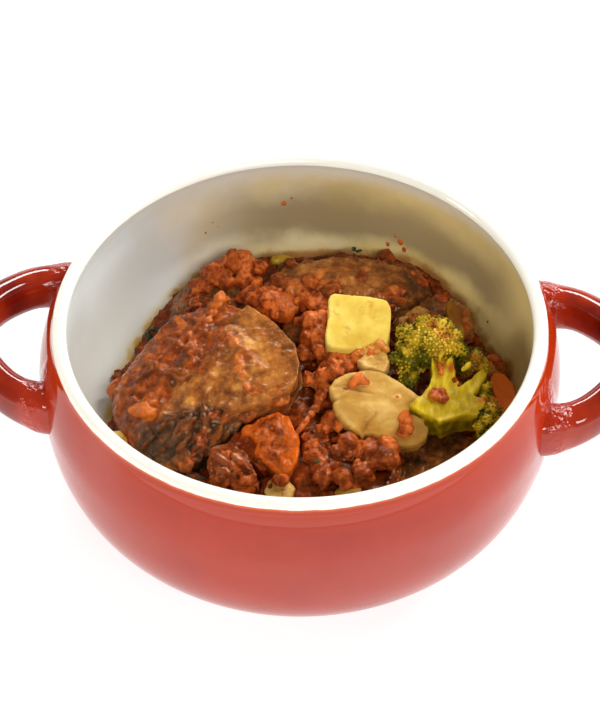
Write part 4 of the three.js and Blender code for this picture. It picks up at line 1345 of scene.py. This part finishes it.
def make_heads(finish):
    """Round heads, each a bunch of small domes turned away from the stalk's root."""
    heap = Heap(22)
    for middle, size, count in BROCCOLI_HEADS:
        middle = Vector(middle)
        away = (middle - Vector(STALK_ROOT)).normalized()
        # The head's core is toned dark: painted shade seen between and under the domes.
        heap.lump(middle, [0.72 * s for s in size], coat=0, tone=-0.5, knobs=0.1)
        for i in range(count):
            rise = 1 - 2 * (i + 0.5) / count
            spin = GOLDEN_TURN * i
            flat = math.sqrt(1 - rise * rise)
            way = Vector((flat * math.cos(spin), flat * math.sin(spin), rise))
            if way.dot(away) < FACES_ROOT:
                continue
            reach = heap.random.uniform(0.72, 0.92)
            place = middle + reach * Vector([w * s for w, s in zip(way, size)])
            dome = heap.random.uniform(0.22, 0.36) * min(size)
            heap.lump(place, (dome * 1.1, dome * 1.1, dome), coat=0, tone=heap.random.uniform(-0.4, 0.3),
                      knobs=0.2)
    made = heap.skin("broccoli_heads", 0.45, 1, lambda place, coat: 0.2 * ripples(place, 1.2, 3), shade=0.3)
    place_piece(made, finish, "broccoli")
    return made.data


def make_buds(heads, finish):
    """Small beads all over the heads, no two nearer than their spacing."""
    chance = random.Random(23)
    beads = Heap(24)
    points, faces = BALLS[BUD]
    corners = [v.co / MM for v in heads.vertices]
    tone_of = heads.attributes["tone"].data
    taken = {}
    order = list(heads.polygons)
    chance.shuffle(order)
    for face in order:
        spot = sum((corners[v] for v in face.vertices), Vector()) / len(face.vertices)
        if face.normal.z < FACES_DOWN:
            continue
        cell = tuple(int(c // BUD_SPACING) for c in spot)
        around = [taken.get(tuple(c + step for c, step in zip(cell, steps))) for steps in NEXT_CELLS]
        if any(other is not None and (other - spot).length < BUD_SPACING for other in around):
            continue
        taken[cell] = spot
        radius = chance.uniform(0.36, 0.54)
        middle = np.array(spot + face.normal * 0.2)
        turn = np.array(Euler([chance.uniform(0, 6) for _ in range(3)]).to_matrix())
        # Lighter and darker patches: partly the buds' own yellow and dark green, partly painted highlight and
        # painted shade.
        tint_and_painted_light = 0.75 * spots(spot.x, spot.y, LIGHT_BUDS) - 0.45 * spots(spot.x, spot.y, DARK_BUDS)
        tone = tone_of[face.vertices[0]].value + chance.uniform(-0.4, 0.4) + tint_and_painted_light - 0.15
        beads.add(points @ turn.T * radius + middle, faces, 0.7 * spots(spot.x, spot.y, BUD_STAINS), tone)
    mesh = mesh_of(np.concatenate(beads.points), np.concatenate(beads.faces), "broccoli_buds")
    coat, tone, _ = np.concatenate(beads.tints).T
    write_layer(mesh, "coat", coat)
    write_layer(mesh, "tone", tone)
    mesh.shade_smooth()
    place_piece(add_object("broccoli_buds", mesh), finish, "broccoli")


# ---- Mushroom, potato, carrot and small pieces

MUSHROOM_OUTLINE = (
    (8.9, -4.6), (10.4, -2.4), (13.5, -0.5), (17, 0.4), (20.2, 1), (23.7, 0.6), (27.3, -1.1), (30.3, -3),
    (32.9, -4.7), (35.3, -6.9), (36.9, -10.7), (37.8, -14.4), (37.4, -17.6), (35.4, -19.5), (33, -20.6),
    (30.3, -20.9), (27.4, -19.8), (22.1, -17.8), (19.8, -17.7), (19, -18.8), (17.8, -17.4), (15, -15.5),
    (13, -13.8), (11.4, -11.8), (10.5, -9.8), (11.3, -8), (9.4, -6.3),
)
MUSHROOM_LINES = (
    ((10.5, -4.5), (13.5, -4.2), (17, -5.6), (21, -6.2)), ((18.6, -17.8), (20.5, -14), (22.5, -12)),
    ((11, -8.6), (13.6, -7.8)), ((29, -17), (31, -13), (34, -11)),
)
MUSHROOM_HUMP = (((14, -8), (24, -9), (33, -12)),)
# Sauce lumps on the slice: x, y, half lengths, turn and tone.
MUSHROOM_LUMPS = (
    (17.6, -1.8, 1.9, 1.5, 1.1, 20, 0.9), (19.4, -2.6, 1.4, 1.1, 0.9, 60, 0.8),
    (15.8, -3.6, 1.7, 1.0, 0.6, 30, 0.6), (13.8, -5.0, 1.1, 0.6, 0.3, 20, 0.3),
    (28.7, -6.6, 0.8, 0.6, 0.3, 0, 0.6), (31.6, -15.8, 2.5, 2.0, 1.5, 70, 0.5),
    (30.8, -17.2, 1.7, 1.5, 1.1, 0, 0.3), (31.2, -12.8, 1.8, 1.3, 0.8, 60, 1.2),
)
SMALL_SLICE = (
    (16.5, 6.5), (19.4, 9.1), (22.6, 10.9), (25.3, 10.3), (26.3, 6.3), (24.6, 2.5), (21.6, 3.5),
    (18.7, 4.2),
)
RIGHT_CARROT = (
    (56.7, 10.9), (58.2, 13), (60.9, 12.8), (63.5, 8.9), (64, 4), (62.7, -0.8), (59.3, -3.8), (58, 0.5),
)
FRONT_ONION = (
    (-25.3, -28.5), (-23.1, -23.5), (-18.7, -21.8), (-13.8, -24.5), (-11.6, -29), (-9.4, -34),
    (-12.4, -34), (-15.4, -31), (-20, -32.6), (-23.6, -32.6),
)
# Folds along the onion: x, y, half lengths and turn.
ONION_FOLDS = ((-20.5, -27.5, 5.5, 1.3, -40), (-16.5, -26.5, 6, 1.5, -42), (-20.5, -30.5, 3.5, 1.1, -30))
PEPPER = (
    (43, 38.8), (44.9, 42), (46.8, 39), (48, 34.7), (48.9, 29.5), (48.8, 24.4), (46.4, 22.5),
    (44.6, 28.4),
)
POTATO_OUTLINE = (
    (7, 24.7), (7.5, 26.2), (9, 27), (16.8, 26.9), (23.7, 26.4), (25.3, 25.3), (26, 23.4), (26.2, 18.5),
    (25.7, 13.8), (24.6, 12), (20.5, 11), (13.1, 10), (8.7, 10), (7.1, 11.4), (6.7, 14), (7.3, 20),
)
POTATO_MARKS = ((9.6, 22, 1.3), (19.5, 24, 1.6), (13, 15.5, 1.1), (19.5, 10.5, 2), (24, 10, 2.5))
CRUMBS = (
    (20.4, 11.2, 36.6, 1.6), (22.8, 12.0, 37.2, 1.9), (25, 11, 36.4, 1.5), (18.8, 9.8, 36, 1.4),
    (22, 10, 36.2, 1.6), (16.6, 9.4, 35.4, 1.2),
)
CARROT_TOP = (
    (-14.6, -18.6), (-10.6, -15.2), (-5.8, -12.6), (-2.2, -14), (0, -18.6), (1.2, -22.6), (0.6, -26.4),
    (-1, -30), (-4.6, -31), (-8, -28), (-10.2, -26.4), (-10.4, -23.2),
)
CARROT_SIDE = (
    (-20.4, -20.8), (-15.6, -16.6), (-9.6, -12.4), (-5, -12.6), (-9.4, -22), (-9.4, -26), (-7.8, -30.4),
    (-12.2, -26.6), (-18.8, -24),
)
CARROT_FIELD = ((-11, -18), (-6, -14), (-1, -19), (-1, -26), (-4, -29), (-9, -24))
CARROT_LUMPS = ((-14, -18.4, 2), (-10, -24.2, 2.2), (-1.8, -20.4, 3.4), (-2.6, -27.2, 2.8))
# Herb flakes: x, y, z and half length.
FLAKES = (
    (-0.1, -17, 28.6, 0.9), (7, -14.3, 28.4, 1.0), (11.1, -14.3, 28.6, 1.1), (6.8, -26.6, 28.2, 1.2),
    (-4.6, -21.4, 31.6, 0.7), (13.8, 61.5, 29.4, 1.9), (15.4, 60.9, 29.2, 1.3), (-48.4, 33.6, 17.6, 2.4),
    (-50, 31.4, 17, 2.2), (-33.4, 36.4, 29.6, 0.6), (52, 8, 35.4, 0.7),
)


def make_mushroom(finish):
    """A broad slice of mushroom lying flat, creased across its upper left, with lumps of sauce on it."""
    heap = Heap(61)

    def level(x, y):
        return 37.4 + 0.36 * y

    heap.plate(MUSHROOM_OUTLINE, level, 3.4)
    for x, y, long, wide, thick, turn, tone in MUSHROOM_LUMPS:
        heap.lump((x, y, level(x, y) + 0.3), (long, wide, thick), (20, 0, turn), coat=1.7, tone=tone,
                  knobs=0.6)

    def relief(place, coat):
        x, y, _ = place
        hump = 1.1 * groove(x, y, MUSHROOM_HUMP, 26)
        return (hump + 0.25 * ripples(place, 4, 1, 2) + 0.06 * ripples(place, 1, 2)
                - 0.35 * groove(x, y, MUSHROOM_LINES, 0.25))

    def paint(x, y, z):
        side = smoothstep(-0.6, -2.0, z - level(x, y))
        return (0.1 + 0.3 * ripples((x, y, z), 7, 4), 0.12 + 0.3 * ripples((x, y, z), 6, 5, 2)
                - 0.4 * groove(x, y, MUSHROOM_LINES, 0.2) - 0.5 * side - 0.25 * smoothstep(-10, -18, y))

    made = heap.skin("mushroom_slice_piece", 0.35, 2, relief, paint)
    place_piece(made, finish, "mushroom", "mushroom_slice")


def make_potato(finish):
    """A cube with soft corners, stained by the sauce round its foot, and crumbs against its front."""
    heap = Heap(81)

    def level(x, y):
        return 40 + 0.37 * (y - 19.5) - 0.05 * (x - 17)

    heap.plate(POTATO_OUTLINE, level, 11)

    def paint(x, y, z):
        foot = smoothstep(-3, -7, z - level(x, y))
        # Painted light: the tone is lighter toward the back left and darker toward the front right.
        return (0.15 + 0.4 * foot + 0.3 * spots(x, y, POTATO_MARKS),
                0.3 * ripples((x, y, z), 6, 8) - 0.02 * (x - 12) + 0.012 * (y - 19))

    made = heap.skin("potato_cube_piece", 0.45, 9, lambda place, coat: 0.3 * ripples(place, 7, 3, 2), paint)
    place_piece(made, finish, "potato", "potato_cube")

    crumbs = Heap(82)
    for x, y, z, half in CRUMBS:
        crumbs.lump((x, y, z), (half, 0.8 * half, 0.7 * half), (0, 0, 40 * x), coat=0.55, tone=-0.2,
                    knobs=0.6)
    place_piece(crumbs.skin("potato_crumbs", 0.3, 3, rough_relief(0.3, 0.3, 1.6, 0.8)), finish, "potato")


def make_carrot_front(finish):
    """A rough block of carrot under the slab's front edge: a top with fine bits and a painted highlight, and
    a smooth side in painted shade under the slab.
    """
    heap = Heap(71)

    def level(x, y):
        return 31.8 + 0.36 * (y + 18) - 0.05 * (x + 8)

    heap.plate(CARROT_TOP, level, 7)
    heap.plate(CARROT_SIDE, lambda x, y: level(x, y) - 2.2 + 0.12 * min(0, x + 12), 7)
    heap.scatter(CARROT_FIELD, 60, (0.8, 2.8), flat=(0.35, 0.6), tones=(-0.3, 0.5), sink=(0.1, 0.4),
                 knobs=0.6)
    for x, y, half in CARROT_LUMPS:
        heap.lump((x, y, level(x, y) - 1.6), (half, 0.9 * half, half), (20, 0, 50 * x), coat=0.6, knobs=0.3)

    def paint(x, y, z):
        # Painted shade on the sides and on the smooth left part under the slab, which also carry less sauce,
        # and a painted highlight on the top.
        side = smoothstep(-1.2, -2.4, z - level(x, y))
        smooth = smoothstep(-7, -11, x + 0.3 * (y + 20))
        lit = spots(x, y, ((-4, -20, 4.5),))
        return (0.4 - 0.2 * side - 0.3 * smooth + 0.5 * ripples((x, y, z), 4, 4, 2),
                0.25 - 0.75 * side - 0.4 * smooth + 0.4 * lit + 0.3 * ripples((x, y, z), 5, 8))

    made = heap.skin("carrot_front_piece", 0.36, 14, rough_relief(0.4, 0.35, 3, 1.1), paint)
    place_piece(made, finish, "carrot", "carrot_front")


def make_celery(finish):
    """A short strip of celery against the wall, behind the meat."""
    heap = Heap(90)
    heap.lump((-8.8, 56.4, 28.8), (3.6, 1.5, 1.2), (0, 0, -8), coat=0.3, knobs=0.15)
    heap.lump((-11, 56, 28.2), (2, 1.5, 1.4), (0, 0, 20), coat=0.4, knobs=0.3)
    made = heap.skin("celery_strip", 0.32, 3, rough_relief(0.1, 0.1))
    place_piece(made, finish, "green_bit", "celery_back")


def make_flakes():
    """Curled bits of green herb on the sauce."""
    heap = Heap(95)
    for x, y, z, half in FLAKES:
        angles = [heap.random.uniform(-40, 40), heap.random.uniform(-40, 40), heap.random.uniform(0, 180)]
        heap.lump((x, y, z), (half, 0.45 * half, 0.28 * half), angles, coat=0, knobs=0.5)
    place_piece(heap.skin("herb_flakes", 0.22, 1), herb_finish(), "green_bit")


def flat_piece(node, finish, slot, seed, outline, level, thick, coat, tone, rough=0.25, folds=()):
    """A piece with an outline in plan, a nearly level top and some folds along it."""
    heap = Heap(seed)
    heap.plate(outline, level, thick)
    for x, y, long, wide, turn in folds:
        heap.lump((x, y, level(x, y)), (long, wide, wide), (0, 0, turn), coat=coat, tone=tone + 0.3,
                  knobs=0.3)

    def paint(x, y, z):
        return coat + 0.4 * ripples((x, y, z), 4, seed), tone + 0.3 * ripples((x, y, z), 3, seed + 2)

    made = heap.skin(node + "_piece", 0.36, 8, rough_relief(rough, 0.3 + rough, 2.4, 1.2), paint)
    place_piece(made, finish, slot, node)


def simple_piece(node, finish, slot, seed, smooth=6, coat=0.2, tone=0.0, **relief):
    """A piece that keeps the CAD solid's form, softened and roughened."""
    heap = Heap(seed)
    heap.core(node)

    def paint(x, y, z):
        return coat + 0.6 * ripples((x, y, z), 5, seed), tone + 0.3 * ripples((x, y, z), 4, seed + 3)

    place_piece(heap.skin(node + "_piece", 0.4, smooth, rough_relief(**relief), paint), finish, slot, node)


def make_food():
    sauce, venison, tomato, mushroom = sauce_finish(), venison_finish(), tomato_finish(), mushroom_finish()
    carrot, onion, potato, green = carrot_finish(), onion_finish(), potato_finish(), green_bit_finish()
    make_sauce(sauce)
    make_venison_left(venison)
    make_venison_back(venison)
    make_stalk(stalk_finish())
    buds = bud_finish()
    make_buds(make_heads(buds), buds)
    make_mushroom(mushroom)
    make_potato(potato)
    make_carrot_front(carrot)
    make_stalk_lumps(sauce)
    make_wall_spots(sauce)
    make_flakes()
    flat_piece("mushroom_small", mushroom, "mushroom", 62, SMALL_SLICE, lambda x, y: 36 + 0.1 * (y - 6), 4,
               0.3, 0.05)
    flat_piece("carrot_right", carrot, "carrot", 63, RIGHT_CARROT, lambda x, y: 26, 8, -0.3, 1.0)
    flat_piece("onion_front", onion, "onion", 50, FRONT_ONION,
               lambda x, y: 27.5 + 0.3 * (y + 28) - 0.1 * (x + 17), 6, 0.6, 0.05, 0.4, ONION_FOLDS)
    flat_piece("pepper_strip", green, "green_bit", 64, PEPPER, lambda x, y: 28.4, 2.5, 0.4, -0.6)

    # Node, slot, coat of sauce and tone of each small piece of meat.
    for i, (node, slot, coat, tone) in enumerate((
            ("venison_tucked", "venison", 0.2, -0.2), ("venison_right", "venison_dark", 0.2, -0.1),
            ("venison_front", "venison_dark", -0.3, -0.1), ("venison_middle", "venison_dark", 0.2, -0.1),
            ("venison_wall", "venison_dark", 0.2, 0.1))):
        simple_piece(node, venison, slot, 10 + i, smooth=4, coat=coat, tone=tone, bare=0.6)
    made_apart = ("tomato_skin_front", *TOMATO_BLOBS)
    plain_tomatoes = [name for name in NODES if name.startswith("tomato_") and name not in made_apart]
    for i, node in enumerate(plain_tomatoes):
        simple_piece(node, tomato, "tomato", 30 + i, smooth=14, coat=0.5, bare=0.35)
    make_tomato_blobs(tomato)
    simple_piece("tomato_skin_front", onion, "onion", 51, smooth=5, bare=0.5)
    for node, coat in (("mushroom_back", 0.85), ("mushroom_bit", 0.2), ("mushroom_front_left", 0.75),
                       ("mushroom_front", 0.7)):
        simple_piece(node, mushroom, "mushroom", 60, coat=coat, bare=0.2, sauce=0.3)
    simple_piece("carrot_bit", carrot, "carrot", 70, coat=0.7, tone=-0.3)
    simple_piece("potato_bit", potato, "potato", 80, coat=0.3, bare=0.15, sauce=0.1)
    make_celery(green)


make_food()
